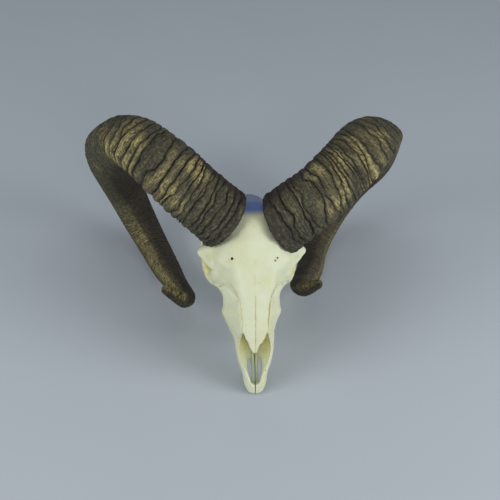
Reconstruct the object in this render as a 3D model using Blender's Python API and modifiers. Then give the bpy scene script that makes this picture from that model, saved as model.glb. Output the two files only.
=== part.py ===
"""Ram skull with horns, life size, without its lower jaw, lying on its nose and the backs of its horns.

Every piece is shaped in the face frame, in millimetres: X across the face, Y into the head from the
forehead, Z from the nose to the crown. settle() then lays the whole on the floor, in metres.
"""

import math

import bmesh
import bpy
import numpy as np
from mathutils import Matrix, Vector

MM = 0.001
GAP = 0.3
SIDES = (("left", -1), ("right", 1))

# Lie of the skull on the floor: pitch about X, then roll about Y, in degrees.
REST_PITCH = -42.2
REST_ROLL = 0.0

# Head: rounded masses as (centre, radii), right side; those off the midline are mirrored.
FOREHEAD = ((0, 44, 4), (46, 45, 51))
BRAINCASE = ((0, 80, 31), (35, 42, 32))
CONDYLE = ((12.5, 120, 54), (8.5, 10, 12))
EAR_BULLA = ((22, 112, 33), (10, 12, 13))
ORBIT = ((57, 51, -11), (25, 16, 18))
TEMPLE = ((48, 62, 24), (12, 13, 17))
FORAMEN = ((0, 118, 58), (8.5, 9, 13))

# Head: tapered limbs as chains of (point, radius), right side.
CROWN = (((0, 28, 16), 26), ((0, 62, 46), 17.5))
HORN_CORE = (((16, 44, 14), 26), ((32, 28, 34), 25))
BROW = (((28, 22, 2), 15), ((54, 31, 0), 6.5), ((58, 33, -1), 4.8))
BROW_EDGE = (((57.5, 32, -2), 4.8), ((52.8, 31, -7.7), 5.6), ((43.5, 30, -17.5), 6), ((38.7, 29, -25.5), 6.1))
TEAR_BONE = (((31, 20, -12), 15), ((39, 28, -24), 7), ((41.5, 42, -29.5), 6.5), ((43, 52, -31), 6))
SKULL_BASE = (((0, 108, 51), 11.5), ((0, 97, 0), 9))
EAR_SPUR = (((28, 110, 50), 8), ((31, 136, 45), 3.5))
PALATE_SPUR = (((13, 88, -14), 4), ((12, 103, 4), 3))
ORBIT_RIM = (((38.7, 29, -25.5), 6), ((41, 39, -30), 5.6), ((43, 52, -31.5), 5.8))
ORBIT_BAR = (((55.5, 36, 0), 5), ((54, 50, 3), 4.6), ((52.5, 64, 1), 5))
CHEEK_ARCH = (
    ((31, 50, -37), 7.5),
    ((42, 54, -33.5), 6),
    ((46.5, 58, -28.5), 6.2),
    ((50, 61, -20), 5.6),
    ((51.5, 66, -4), 5.4),
    ((51, 72, 12), 5),
    ((45, 80, 28), 6.2),
    ((34, 84, 38), 9),
)

# Muzzle sections from the brow to its tip: height Z, then the half width and depth of the nasal edge,
# of the cheek's widest line and of the tooth line.
MUZZLE = (
    (8, (26, 1), (41, 40), (26, 91)),
    (-20, (25, 0), (41, 40), (27, 90)),
    (-41, (22, 1.5), (37.5, 41), (28, 88)),
    (-55, (18.5, 2.5), (33, 42), (28, 85)),
    (-66, (17.5, 3), (33.5, 43), (28.5, 83)),
    (-71, (17, 3.5), (35, 43), (28.5, 82)),
    (-76, (17, 4), (33, 43), (28.5, 81)),
    (-89, (16, 5.5), (26.8, 45), (26, 78)),
    (-97, (15.5, 9), (24.3, 46), (23.5, 76)),
    (-107, (15, 17), (23.4, 46), (20, 71)),
    (-118, (15, 25), (22.3, 47), (17.5, 69)),
    (-132, (13.5, 32), (19, 49), (15, 65)),
    (-142, (10.5, 37), (15.3, 51), (12.5, 62)),
    (-150, (9.5, 40), (13.7, 52), (12.5, 61)),
    (-157, (8.5, 43), (12.6, 53), (11.5, 61)),
    (-164, (5, 48), (8.6, 55), (8, 60)),
    (-168, (2, 53), (3.6, 56), (3, 59)),
)

# Nasal opening: height Z, half width, front of the cut, floor of the hollow.
NOSE_HOLLOW = (
    (-62, 10, 14, 38),
    (-80, 12, 11, 54),
    (-92, 13.2, 10, 61),
    (-100, 15.5, -20, 62),
    (-108, 17.6, -20, 61),
    (-118, 18.4, -20, 60),
    (-132, 15.2, -20, 58),
    (-142, 10.3, -20, 57),
    (-150, 7.2, -20, 56.5),
    (-156, 4.5, -20, 56),
)
HOLLOW_LIP_ROOFED = 20.0
HOLLOW_LIP_OPEN = 30.0
HOLLOW_LEAST_DEPTH = 12.0
FISSURE_CENTRE = (6.1, -141.5)
FISSURE_HALF = (2.7, 13.8)
FISSURE_REACH = (30.0, 80.0)
PREMAXILLA_SLIT = 0.8

# Nasal bones: height Z, half width, depth of the outer face; one thickness throughout.
NASAL = (
    (-38, 13, 1.2),
    (-45, 19, 1.6),
    (-60, 17.3, 2.8),
    (-75, 16.4, 4),
    (-92, 15.2, 6),
    (-103, 10, 9),
    (-113, 5.4, 12),
    (-118, 2.8, 13.5),
)
NASAL_THICK = 4.2
NASAL_BOW = 0.011
NASAL_OVERCUT = 9.0

# The nose tip stands a little to the right: how far, and the heights between which it moves over.
NOSE_LEAN = 3.5
NOSE_LEAN_SPAN = (-98.0, -150.0)

# Tooth rows: six cheek teeth a side, from the front tooth's edge to the back tooth's.
TOOTH_ROW = (-98.0, -24.0)
TEETH = 6
TOOTH_INSET = (18.5, 21.0)
TOOTH_HALF_WIDTH = 6.2
TOOTH_WAIST = 1.4
TOOTH_STEPS = 4
TOOTH_DEPTH = (68.0, 97.5)

# Bone borders in the side view, as (depth Y, height Z): what lies in front of each line is cut off.
MUZZLE_BORDER = ((-12, -38), (26, -38), (60, -46), (73, -19), (112, -17))
NOSE_TIP_BORDER = ((-12, -92), (20, -98), (46, -118), (84, -124))
CHEEK_BORDER = ((38, -24), (38, -58), (80, -58), (84, 4), (60, 4), (52, -24))
CHEEK_INNER = 44.0
FAR = 90.0
NOSE_END = -190.0

SKULL_VOXEL = 1.5
SKULL_SMOOTHING = 6
SKULL_TRIANGLES = 3000
SHORTEST_EDGE = 0.1
SMOOTH_ANGLE = 50.0

# Horns: the curl is a spiral about CURL_AXIS (depth Y, height Z). Each station is the angle round it
# from the viewer's side over the top, the reach from the axis, the distance out from the midline, and
# the half width.
CURL_AXIS = (135.0, 48.0)
HORN_STATIONS = {
    "left": (
        (-6, 111.5, 32, 36), (8, 102, 61, 36.8), (30, 97, 95, 39.5), (55, 97, 127, 40), (80, 91, 150, 36.5),
        (110, 78, 160.5, 31.8), (145, 88, 153, 27.8), (175, 104, 131, 23.2), (205, 100, 105, 18.9),
        (240, 89, 88, 15.8), (265, 96.5, 76.5, 12.4), (281, 109.5, 71.5, 11.3), (298, 105.5, 98, 6.3),
    ),
    "right": (
        (-9, 112.5, 33, 36.3), (8, 100.5, 76, 36.6), (30, 93, 115.5, 37), (55, 94.5, 146, 38.2),
        (80, 87.5, 164, 36), (110, 76, 171, 32.5), (145, 87, 163, 27.6), (175, 104, 134, 22.8),
        (205, 100, 104, 19.2), (240, 87, 89, 16.4), (265, 91.5, 74, 13.8), (281, 98, 70.5, 12),
        (298, 102, 86, 6),
    ),
}
HORN_FRONT_SHARE = 0.74
HORN_BACK_SHARE = 0.9
HORN_KEEL = 0.28
HORN_TWIST = 28.0
RIM_SLANT = {"left": 0.78, "right": 0.86}
RIM_SLANT_KEPT = 0.2
RIM_SLANT_FADE = {"left": 60.0, "right": 50.0}
RIDGES = 24
RIDGE_SPACING = 9.8
RIDGE_HEIGHT = 1.3
LOWER_RINGS = 24
HORN_SIDES = 14
HORN_CUTS = (0.0, 0.26, 0.5, 0.78, 1.0)
HORN_LENGTH_NAMES = ("base", "bend", "fall", "tip")
TIP_ROUNDING = 5.0
TIP_DOME = ((0.55, 0.8), (0.9, 0.42))
HORN_SEAT_LEVELS = (6.0, 20.0, 40.0, 60.0)
RING_MARGIN = 1.5
PATH_POINTS = 600
TANGENT_REACH = 2.0

BONE = ("bleached_bone", (0.74, 0.75, 0.60), 0.55)
TOOTH_BONE = ("muzzle_bone", (0.72, 0.73, 0.58), 0.52)
HORN = ("horn_sheath", (0.13, 0.11, 0.065), 0.62)


def clear_scene():
    """Remove whatever the opened file holds."""
    for obj in list(bpy.data.objects):
        bpy.data.objects.remove(obj, do_unlink=True)


def new_collection(name):
    """Add a collection to the scene."""
    collection = bpy.data.collections.new(name)
    bpy.context.scene.collection.children.link(collection)
    return collection


def new_material(name, colour, roughness):
    """Principled material of one colour."""
    material = bpy.data.materials.new(name)
    material.use_nodes = True
    shader = material.node_tree.nodes["Principled BSDF"]
    shader.inputs["Base Color"].default_value = (*colour, 1.0)
    shader.inputs["Roughness"].default_value = roughness
    shader.inputs["Metallic"].default_value = 0.0
    material.diffuse_color = (*colour, 1.0)
    return material


def mesh_object(name, shape):
    """Object from a bmesh, which is freed."""
    mesh = bpy.data.meshes.new(name)
    shape.to_mesh(mesh)
    shape.free()
    obj = bpy.data.objects.new(name, mesh)
    bpy.context.scene.collection.objects.link(obj)
    return obj


def mirrored(point, side):
    """The point on the named side of the face."""
    return (point[0] * side, point[1], point[2])


def ball(shape, centre, radii, detail=(28, 18)):
    """Add an ellipsoid to a bmesh."""
    matrix = Matrix.Translation(centre) @ Matrix.Diagonal((*radii, 1.0))
    bmesh.ops.create_uvsphere(shape, u_segments=detail[0], v_segments=detail[1], radius=1.0, matrix=matrix)


def limb(shape, chain, side=1):
    """Add a chain of tapered, round-ended rods: each is the hull of two balls."""
    for (start, start_radius), (end, end_radius) in zip(chain[:-1], chain[1:]):
        rod = bmesh.new()
        ball(rod, mirrored(start, side), (start_radius,) * 3, (16, 10))
        ball(rod, mirrored(end, side), (end_radius,) * 3, (16, 10))
        hull = bmesh.ops.convex_hull(rod, input=rod.verts)
        inside = [item for item in hull["geom_interior"] if isinstance(item, bmesh.types.BMVert)]
        bmesh.ops.delete(rod, geom=inside, context="VERTS")
        merge(shape, rod)


def merge(shape, other):
    """Copy one bmesh into another and free it."""
    mesh = bpy.data.meshes.new("merge")
    other.to_mesh(mesh)
    other.free()
    shape.from_mesh(mesh)
    bpy.data.meshes.remove(mesh)


def loft(shape, rings):
    """Skin closed rings of equal length, with flat ends."""
    rows = [[shape.verts.new(point) for point in ring] for ring in rings]
    for low, high in zip(rows[:-1], rows[1:]):
        for i, corner in enumerate(low):
            after = (i + 1) % len(low)
            shape.faces.new((corner, low[after], high[after], high[i]))
    shape.faces.new(rows[0][::-1])
    shape.faces.new(rows[-1])
    bmesh.ops.triangulate(shape, faces=shape.faces[:])
    bmesh.ops.recalc_face_normals(shape, faces=shape.faces[:])


def apply_modifier(obj, kind, **settings):
    """Add a modifier and make its result the object's mesh."""
    modifier = obj.modifiers.new(kind.title(), kind)
    for key, value in settings.items():
        setattr(modifier, key, value)
    graph = bpy.context.evaluated_depsgraph_get()
    mesh = bpy.data.meshes.new_from_object(obj.evaluated_get(graph))
    obj.modifiers.clear()
    old = obj.data
    obj.data = mesh
    bpy.data.meshes.remove(old)


def combine(obj, tool, operation):
    """Boolean of two closed solids, applied to the first; the second is removed.

    The exact solver empties the thinned skull at its cheek cut, so all cuts use the manifold one.
    """
    apply_modifier(obj, "BOOLEAN", operation=operation, solver="MANIFOLD", object=tool)
    bpy.data.objects.remove(tool, do_unlink=True)


def duplicate(obj, name):
    """Copy an object with its mesh."""
    copy = obj.copy()
    copy.data = obj.data.copy()
    copy.name = name
    bpy.context.scene.collection.objects.link(copy)
    return copy


def prism(name, outline, low, high, axis):
    """Solid with the outline in the two other axes, from low to high along the axis."""
    rings = [[Vector(np.insert(np.array(point, float), axis, level)) for point in outline] for level in (low, high)]
    shape = bmesh.new()
    loft(shape, rings)
    return mesh_object(name, shape)


def muzzle_ring(station):
    """One section of the muzzle, as a closed ring of points at its height."""
    height, (nasal, front), (cheek, middle), (tooth, back) = station
    half = [
        (nasal * 0.55, front),
        (nasal, front + 1.5),
        (nasal * 0.5 + cheek * 0.5 + 0.8, front * 0.5 + middle * 0.5 - 1),
        (cheek, middle - 3),
        (cheek, middle + 3),
        (cheek * 0.45 + tooth * 0.55 + 0.5, middle * 0.45 + back * 0.55),
        (tooth, back - 2),
        (tooth * 0.7, back),
    ]
    right = [Vector((x, y, height)) for x, y in half]
    left = [Vector((-x, y, height)) for x, y in reversed(half)]
    return right + left


def hollow_ring(station):
    """One section of the nasal hollow: straight sides in front, round floor."""
    height, half_width, front, floor = station
    lip = min(HOLLOW_LIP_ROOFED, floor - HOLLOW_LEAST_DEPTH) if front > 0 else HOLLOW_LIP_OPEN
    turn = np.linspace(0, math.pi, 13)
    arc = [Vector((half_width * math.cos(a), lip + (floor - lip) * math.sin(a) ** 0.8, height)) for a in turn]
    return arc + [Vector((-half_width, front, height)), Vector((half_width, front, height))]


def head_masses():
    """All the masses of the head and muzzle, overlapping, in one object."""
    shape = bmesh.new()
    ball(shape, *FOREHEAD)
    ball(shape, *BRAINCASE)
    limb(shape, CROWN)
    limb(shape, SKULL_BASE)
    for _, side in SIDES:
        for centre, radii in (CONDYLE, EAR_BULLA):
            ball(shape, mirrored(centre, side), radii)
        for chain in (HORN_CORE, BROW, TEAR_BONE, EAR_SPUR, PALATE_SPUR):
            limb(shape, chain, side)
    muzzle = bmesh.new()
    loft(muzzle, [muzzle_ring(station) for station in MUZZLE])
    merge(shape, muzzle)
    return mesh_object("head", shape)


def hollow_masses():
    """What is taken out of the head: orbits, temples, nasal opening and the hole for the spine."""
    shape = bmesh.new()
    ball(shape, *FORAMEN)
    for _, side in SIDES:
        for centre, radii in (ORBIT, TEMPLE):
            ball(shape, mirrored(centre, side), radii)
    balls = mesh_object("hollows", shape)
    nose = bmesh.new()
    loft(nose, [hollow_ring(station) for station in NOSE_HOLLOW])
    return balls, mesh_object("nose_hollow", nose)


def tooth_row(side):
    """The cheek teeth of one side as one scalloped block."""
    count = TEETH * TOOTH_STEPS
    heights = np.linspace(*TOOTH_ROW, count + 1)
    phase = np.linspace(0, TEETH * math.pi, count + 1)
    waist = TOOTH_HALF_WIDTH - TOOTH_WAIST * (1 - np.abs(np.sin(phase)) ** 0.7)
    centre = np.linspace(*TOOTH_INSET, count + 1)
    outer = [((c + w) * side, z) for c, w, z in zip(centre, waist, heights)]
    inner = [((c - w) * side, z) for c, w, z in zip(centre, waist, heights)]
    outline = outer + inner[::-1]
    shape = bmesh.new()
    loft(shape, [[Vector((x, y, z)) for x, z in outline] for y in TOOTH_DEPTH])
    return shape


def arch_masses():
    """What the hollows must not cut: bars that bridge the orbit and the temple, and the teeth."""
    shape = bmesh.new()
    for _, side in SIDES:
        for chain in (BROW_EDGE, ORBIT_RIM, ORBIT_BAR, CHEEK_ARCH):
            limb(shape, chain, side)
        merge(shape, tooth_row(side))
    return mesh_object("arches", shape)


def add_masses(obj, other):
    """Put one object's mesh into another, still overlapping."""
    shape = bmesh.new()
    shape.from_mesh(obj.data)
    shape.from_mesh(other.data)
    shape.to_mesh(obj.data)
    shape.free()
    bpy.data.objects.remove(other, do_unlink=True)


def whole_skull():
    """Head and muzzle as one smooth closed solid, with its hollows."""
    skull = head_masses()
    apply_modifier(skull, "REMESH", mode="VOXEL", voxel_size=SKULL_VOXEL, adaptivity=0.0)
    apply_modifier(skull, "SMOOTH", factor=0.5, iterations=SKULL_SMOOTHING)
    balls, nose = hollow_masses()
    combine(skull, balls, "DIFFERENCE")
    add_masses(skull, arch_masses())
    apply_modifier(skull, "REMESH", mode="VOXEL", voxel_size=SKULL_VOXEL, adaptivity=0.0)
    apply_modifier(skull, "SMOOTH", factor=0.5, iterations=SKULL_SMOOTHING // 2)
    combine(skull, nose, "DIFFERENCE")
    apply_modifier(skull, "REMESH", mode="VOXEL", voxel_size=SKULL_VOXEL * 0.8, adaptivity=0.0)
    triangles = sum(len(face.vertices) - 2 for face in skull.data.polygons)
    apply_modifier(skull, "DECIMATE", decimate_type="COLLAPSE", ratio=SKULL_TRIANGLES / triangles)
    return skull


def nasal_plate(name, inner, side, grow=0.0, overcut=0.0):
    """Thin bowed plate of the nasal bones, from a distance off the midline to their outer edge.

    It can be grown all round and reach out in front by the overcut, to cut the plate's seat.
    """
    rings = []
    for i, (height, half_width, front) in enumerate(NASAL):
        height += grow if i == 0 else -grow if i == len(NASAL) - 1 else 0.0
        start = -half_width - grow if inner is None else inner
        reach = np.linspace(start, half_width + grow, 5 if inner is not None else 9)
        bow = NASAL_BOW * reach * reach + front
        outer = [Vector((x * side, y - overcut, height)) for x, y in zip(reach, bow)]
        back = [Vector((x * side, y + NASAL_THICK + grow, height)) for x, y in zip(reach[::-1], bow[::-1])]
        rings.append(outer + back)
    shape = bmesh.new()
    loft(shape, rings)
    return mesh_object(name, shape)


def border_outline(border, grow=0.0):
    """Closed side outline of all that lies on the nose side of a border."""
    line = [(y, z + grow) for y, z in border]
    return line + [(border[-1][0], NOSE_END), (border[0][0], NOSE_END)]


def scaled_outline(outline, grow):
    """An outline pushed out from its middle by about the given distance."""
    corners = np.array(outline, float)
    spokes = corners - corners.mean(axis=0)
    return corners + grow * 1.5 * spokes / np.linalg.norm(spokes, axis=1)[:, None]


def reach_between(inner, outer, side):
    """Distances across the face from the inner to the outer one, in rising order."""
    return sorted((inner * side, outer * side))


def split(obj, name, outline, across, grown_outline, grown_across):
    """Cut the part of a solid inside a side outline, between two distances across, into its own solid.

    The grown outline and distances are what the rest loses, so that a thin gap stays between the two.
    """
    part = duplicate(obj, name)
    combine(part, prism("region", outline, *across, 0), "INTERSECT")
    combine(obj, prism("region", grown_outline, *grown_across, 0), "DIFFERENCE")
    return part


def half_of(obj, name, side):
    """One side's half of a solid, half a gap short of the midline."""
    half = duplicate(obj, name)
    low, high = reach_between(GAP / 2, FAR, side)
    block = ((-FAR, NOSE_END), (2 * FAR, NOSE_END), (2 * FAR, FAR), (-FAR, FAR))
    combine(half, prism("block", block, low, high, 0), "INTERSECT")
    return half


def fissure(side):
    """Cutter for the long slot in the palate behind the nose tip."""
    turn = np.linspace(0, 2 * math.pi, 14, endpoint=False)
    across, height = FISSURE_CENTRE
    outline = [
        ((across + FISSURE_HALF[0] * math.cos(a)) * side, height + FISSURE_HALF[1] * math.sin(a)) for a in turn
    ]
    rings = [[Vector((x, y, z)) for x, z in outline] for y in FISSURE_REACH]
    shape = bmesh.new()
    loft(shape, rings)
    return mesh_object("fissure", shape)


def natural_spline(knots, values, at):
    """Smooth curve through the values, with no bend at its ends."""
    knots, values, at = (np.asarray(item, float) for item in (knots, values, at))
    count, step = len(knots), np.diff(knots)
    system, slopes = np.eye(count), np.zeros(count)
    for i in range(1, count - 1):
        system[i, i - 1 : i + 2] = step[i - 1], 2 * (step[i - 1] + step[i]), step[i]
        slopes[i] = 6 * ((values[i + 1] - values[i]) / step[i] - (values[i] - values[i - 1]) / step[i - 1])
    bend = np.linalg.solve(system, slopes)
    i = np.clip(np.searchsorted(knots, at) - 1, 0, count - 2)
    h, a = step[i], at - knots[i]
    b = h - a
    return (
        (bend[i] * b**3 + bend[i + 1] * a**3) / (6 * h)
        + (values[i] / h - bend[i] * h / 6) * b
        + (values[i + 1] / h - bend[i + 1] * h / 6) * a
    )


class HornPath:
    """Centre line and section of one horn, in millimetres of the face frame."""

    def __init__(self, name, side):
        angles, reaches, outs, half_widths = np.array(HORN_STATIONS[name], float).T
        fine = np.linspace(angles[0], angles[-1], PATH_POINTS)
        reach = natural_spline(angles, reaches, fine)
        turn = np.radians(fine)
        self.points = np.stack(
            (
                natural_spline(angles, outs, fine) * side,
                CURL_AXIS[0] - reach * np.cos(turn),
                CURL_AXIS[1] + reach * np.sin(turn),
            ),
            axis=1,
        )
        steps = np.linalg.norm(np.diff(self.points, axis=0), axis=1)
        self.along = np.concatenate(([0.0], np.cumsum(steps)))
        self.length = self.along[-1]
        self.half_widths = natural_spline(angles, half_widths, fine)
        self.turn, self.side = turn, side
        self.slant, self.slant_fade = RIM_SLANT[name], RIM_SLANT_FADE[name]

    def at(self, distance):
        """Centre, tangent, outward and sideways directions, and half width at a distance."""
        centre = np.array([np.interp(distance, self.along, column) for column in self.points.T])
        ahead = np.array([np.interp(distance + TANGENT_REACH, self.along, column) for column in self.points.T])
        behind = np.array([np.interp(distance - TANGENT_REACH, self.along, column) for column in self.points.T])
        tangent = (ahead - behind) / np.linalg.norm(ahead - behind)
        turn = np.interp(distance, self.along, self.turn)
        outward = np.array((0.0, -math.cos(turn), math.sin(turn)))
        outward -= tangent * outward.dot(tangent)
        outward /= np.linalg.norm(outward)
        sideways = np.cross(outward, tangent)
        return centre, tangent, outward, sideways, np.interp(distance, self.along, self.half_widths)

    def ring(self, distance, swell=0.0):
        """Closed section: broad bowed front, keeled towards the inside of the curl."""
        centre, tangent, outward, sideways, half_width = self.at(distance)
        share = distance / self.length
        twist = math.radians(HORN_TWIST) * share * self.side
        slant = RIM_SLANT_KEPT + (self.slant - RIM_SLANT_KEPT) * math.exp(-distance / self.slant_fade)
        slant *= 1 - share
        size = half_width + swell
        ring = []
        for angle in np.linspace(0, 2 * math.pi, HORN_SIDES, endpoint=False):
            front, across = math.cos(angle), math.sin(angle)
            depth = front * (HORN_FRONT_SHARE if front > 0 else HORN_BACK_SHARE)
            across *= 1 + HORN_KEEL * min(front, 0.0)
            depth, across = (
                depth * math.cos(twist) - across * math.sin(twist),
                depth * math.sin(twist) + across * math.cos(twist),
            )
            ring.append(Vector(centre + size * (outward * depth + sideways * across - tangent * slant * depth)))
        return ring


def horn_levels(path):
    """Distances of the rings: a crest and a groove for each ridge, then even steps to the tip."""
    ridged = np.arange(2 * RIDGES + 1) * RIDGE_SPACING / 2
    lower = np.linspace(ridged[-1], path.length, LOWER_RINGS + 1)[1:]
    return np.concatenate((ridged, lower))


def ridge_swell(distance):
    """How far the surface stands out at a distance: crests and grooves on the upper horn."""
    if distance > RIDGES * RIDGE_SPACING:
        return 0.0
    return -RIDGE_HEIGHT * math.cos(2 * math.pi * distance / RIDGE_SPACING)


def horn_length(path, name, start, end):
    """One length of a horn between two distances, flat at its cut ends and round at the tip."""
    levels = [level for level in horn_levels(path) if start + RING_MARGIN < level < end - RING_MARGIN]
    levels = [start + GAP / 2, *levels, end - GAP / 2]
    rings = [path.ring(level, ridge_swell(level)) for level in levels]
    if end >= path.length - 1.0:
        centre, tangent, *_ = path.at(path.length)
        for lift, share in TIP_DOME:
            heart = sum(rings[-1], Vector()) / HORN_SIDES
            cap = [Vector(centre) + (point - heart) * share for point in path.ring(path.length)]
            rings.append([point + Vector(tangent) * TIP_ROUNDING * lift for point in cap])
    shape = bmesh.new()
    loft(shape, rings)
    return mesh_object(name, shape)


def horn_seat(path):
    """Cutter for the skull: the horn's first stretch, larger by the gap."""
    _, tangent, *_ = path.at(0.0)
    first = [point - Vector(tangent) * GAP for point in path.ring(0.0, GAP + RIDGE_HEIGHT)]
    rest = [path.ring(level, GAP + RIDGE_HEIGHT) for level in HORN_SEAT_LEVELS]
    shape = bmesh.new()
    loft(shape, [first, *rest])
    return mesh_object("horn_seat", shape)


def lean_nose(obj):
    """Move each vertex of a nose-tip bone to the right, smoothly more towards the tip."""
    high, low = NOSE_LEAN_SPAN
    for vertex in obj.data.vertices:
        share = min(max((high - vertex.co.z) / (high - low), 0.0), 1.0)
        vertex.co.x += NOSE_LEAN * share * share * (3 - 2 * share)


def tidy_edges(obj):
    """Close up the hair-thin faces that the cuts leave."""
    shape = bmesh.new()
    shape.from_mesh(obj.data)
    bmesh.ops.remove_doubles(shape, verts=shape.verts, dist=SHORTEST_EDGE)
    bmesh.ops.dissolve_degenerate(shape, edges=shape.edges, dist=SHORTEST_EDGE)
    bmesh.ops.triangulate(shape, faces=shape.faces[:])
    shape.to_mesh(obj.data)
    shape.free()


def dress(obj, material, collection, matrix):
    """Give a finished solid its material and its place on the floor."""
    obj.data.transform(matrix)
    obj.data.materials.clear()
    obj.data.materials.append(material)
    obj.data.shade_smooth()
    obj.data.set_sharp_from_angle(angle=math.radians(SMOOTH_ANGLE))
    for other in obj.users_collection:
        other.objects.unlink(obj)
    collection.objects.link(obj)


def build_skull():
    """The bones of the skull as separate solids."""
    skull = whole_skull()
    for name, side in SIDES:
        combine(skull, horn_seat(HornPath(name, side)), "DIFFERENCE")
    combine(skull, nasal_plate("nasal_seat", None, 1, GAP, NASAL_OVERCUT), "DIFFERENCE")
    bones = {}
    for name, side in SIDES:
        bones[f"nasal_{name}"] = nasal_plate(f"nasal_{name}", GAP / 2, side)
        bones[f"cheek_{name}"] = split(
            skull, f"cheek_{name}", CHEEK_BORDER, reach_between(CHEEK_INNER, FAR, side),
            scaled_outline(CHEEK_BORDER, GAP), reach_between(CHEEK_INNER - GAP, FAR, side),
        )
    across = (-FAR, FAR)
    muzzle = split(
        skull, "muzzle", border_outline(MUZZLE_BORDER), across, border_outline(MUZZLE_BORDER, GAP), across
    )
    for name, side in SIDES:
        half = half_of(muzzle, f"maxilla_{name}", side)
        tip = split(
            half, f"premaxilla_{name}", border_outline(NOSE_TIP_BORDER), reach_between(PREMAXILLA_SLIT, FAR, side),
            border_outline(NOSE_TIP_BORDER, GAP), across,
        )
        combine(tip, fissure(side), "DIFFERENCE")
        combine(half, fissure(side), "DIFFERENCE")
        bones[f"maxilla_{name}"] = half
        bones[f"premaxilla_{name}"] = tip
    bpy.data.objects.remove(muzzle, do_unlink=True)
    skull.name = "cranium"
    bones["cranium"] = skull
    return bones


def build_horns():
    """Each horn in four lengths."""
    lengths = {}
    for name, side in SIDES:
        path = HornPath(name, side)
        for part, start, end in zip(HORN_LENGTH_NAMES, HORN_CUTS[:-1], HORN_CUTS[1:]):
            label = f"horn_{name}_{part}"
            lengths[label] = horn_length(path, label, start * path.length, end * path.length)
    return lengths


def settle(objects):
    """Matrix that lays the pieces at rest on the floor, centred on the origin, in metres."""
    turn = Matrix.Rotation(math.radians(REST_ROLL), 4, "Y") @ Matrix.Rotation(math.radians(REST_PITCH), 4, "X")
    turn = turn @ Matrix.Scale(MM, 4)
    corners = np.array([turn @ vertex.co for obj in objects for vertex in obj.data.vertices])
    low, high = corners.min(axis=0), corners.max(axis=0)
    return Matrix.Translation((-(low[0] + high[0]) / 2, -(low[1] + high[1]) / 2, -low[2])) @ turn


def main():
    """Build the skull and its horns."""
    clear_scene()
    collection = new_collection("ram_skull")
    bone, muzzle, horn = (new_material(*settings) for settings in (BONE, TOOTH_BONE, HORN))
    bones, lengths = build_skull(), build_horns()
    for name, obj in bones.items():
        if name.startswith("premaxilla"):
            lean_nose(obj)
    matrix = settle([*bones.values(), *lengths.values()])
    for name, obj in bones.items():
        tidy_edges(obj)
        dress(obj, muzzle if name.startswith(("maxilla", "premaxilla")) else bone, collection, matrix)
    for obj in lengths.values():
        dress(obj, horn, collection, matrix)


main()
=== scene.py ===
"""Ram skull with ridged horns, at rest on the tip of its nose and the backs of its horns.

Shapes are worked out in the face frame, in millimetres: X across the face to the viewer's right, Y into
the head from the forehead, Z from the nose to the crown. Lie puts them into the model's frame, in metres.
Bones are level sets: a field that is negative inside the bone, meshed where it crosses nought.
Horns are a section carried along a spiral, with growth ridges raised from it.
"""

import logging
import math
from dataclasses import dataclass
from enum import Enum
from typing import Sequence

import bpy
import numpy as np
from mathutils import Matrix, Vector


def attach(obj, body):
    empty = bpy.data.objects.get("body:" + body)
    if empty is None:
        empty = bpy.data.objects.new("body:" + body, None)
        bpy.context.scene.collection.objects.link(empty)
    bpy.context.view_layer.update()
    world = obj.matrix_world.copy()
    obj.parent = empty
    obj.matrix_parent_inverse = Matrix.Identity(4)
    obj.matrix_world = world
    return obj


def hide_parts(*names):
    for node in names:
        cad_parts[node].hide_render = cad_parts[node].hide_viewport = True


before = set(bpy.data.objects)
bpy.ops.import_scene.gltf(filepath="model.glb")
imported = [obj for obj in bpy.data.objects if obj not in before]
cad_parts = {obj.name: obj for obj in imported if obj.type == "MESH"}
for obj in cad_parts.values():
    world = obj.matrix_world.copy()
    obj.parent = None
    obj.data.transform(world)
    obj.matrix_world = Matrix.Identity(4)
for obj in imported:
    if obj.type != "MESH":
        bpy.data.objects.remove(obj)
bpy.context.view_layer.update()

Array = np.ndarray
Point = tuple[float, float, float]
Knot = tuple[Point, float]
Chain = Sequence[Knot]
Mass = tuple[Point, Point]
Border = Sequence[tuple[float, float]]
Colour = tuple[float, float, float]

MM = 0.001
BODY = "root"

HASH_AXES = (73856093, 19349663, 83492791)
HASH_SEED = 2654435761
HASH_MIX = ((15, 2246822519), (13, 3266489917))
HASH_MASK = 0xFFFFFFFF

log = logging.getLogger("ram_skull")


class Side(Enum):
    """Side of the face as the viewer sees it; the value is the sign of X."""

    LEFT = -1
    RIGHT = 1

    @property
    def word(self) -> str:
        """Name of the side in the names of nodes and pieces."""
        return self.name.lower()


@dataclass(frozen=True)
class Lie:
    """How the skull lies in the model's frame: pitched about X in degrees, then shifted in millimetres."""

    pitch: float = -42.2
    shift: Point = (-5.451, -83.58, 163.112)

    def turn(self) -> Array:
        """Rotation matrix from the face frame to the model's frame."""
        return np.array(Matrix.Rotation(math.radians(self.pitch), 3, "X"))

    def place(self, points: Array) -> Array:
        """Points of the face frame in metres of the model's frame: turned, shifted, scaled.

        Args:
            points: rows of X, Y, Z in millimetres.

        Returns:
            Rows of X, Y, Z in metres.
        """
        return (points @ self.turn().T + np.array(self.shift)) * MM

    def direction(self, vectors: Array) -> Array:
        """Directions of the face frame in the model's frame."""
        return vectors @ self.turn().T


LIE = Lie()


# ---------------------------------------------------------------- noise and curves


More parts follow.
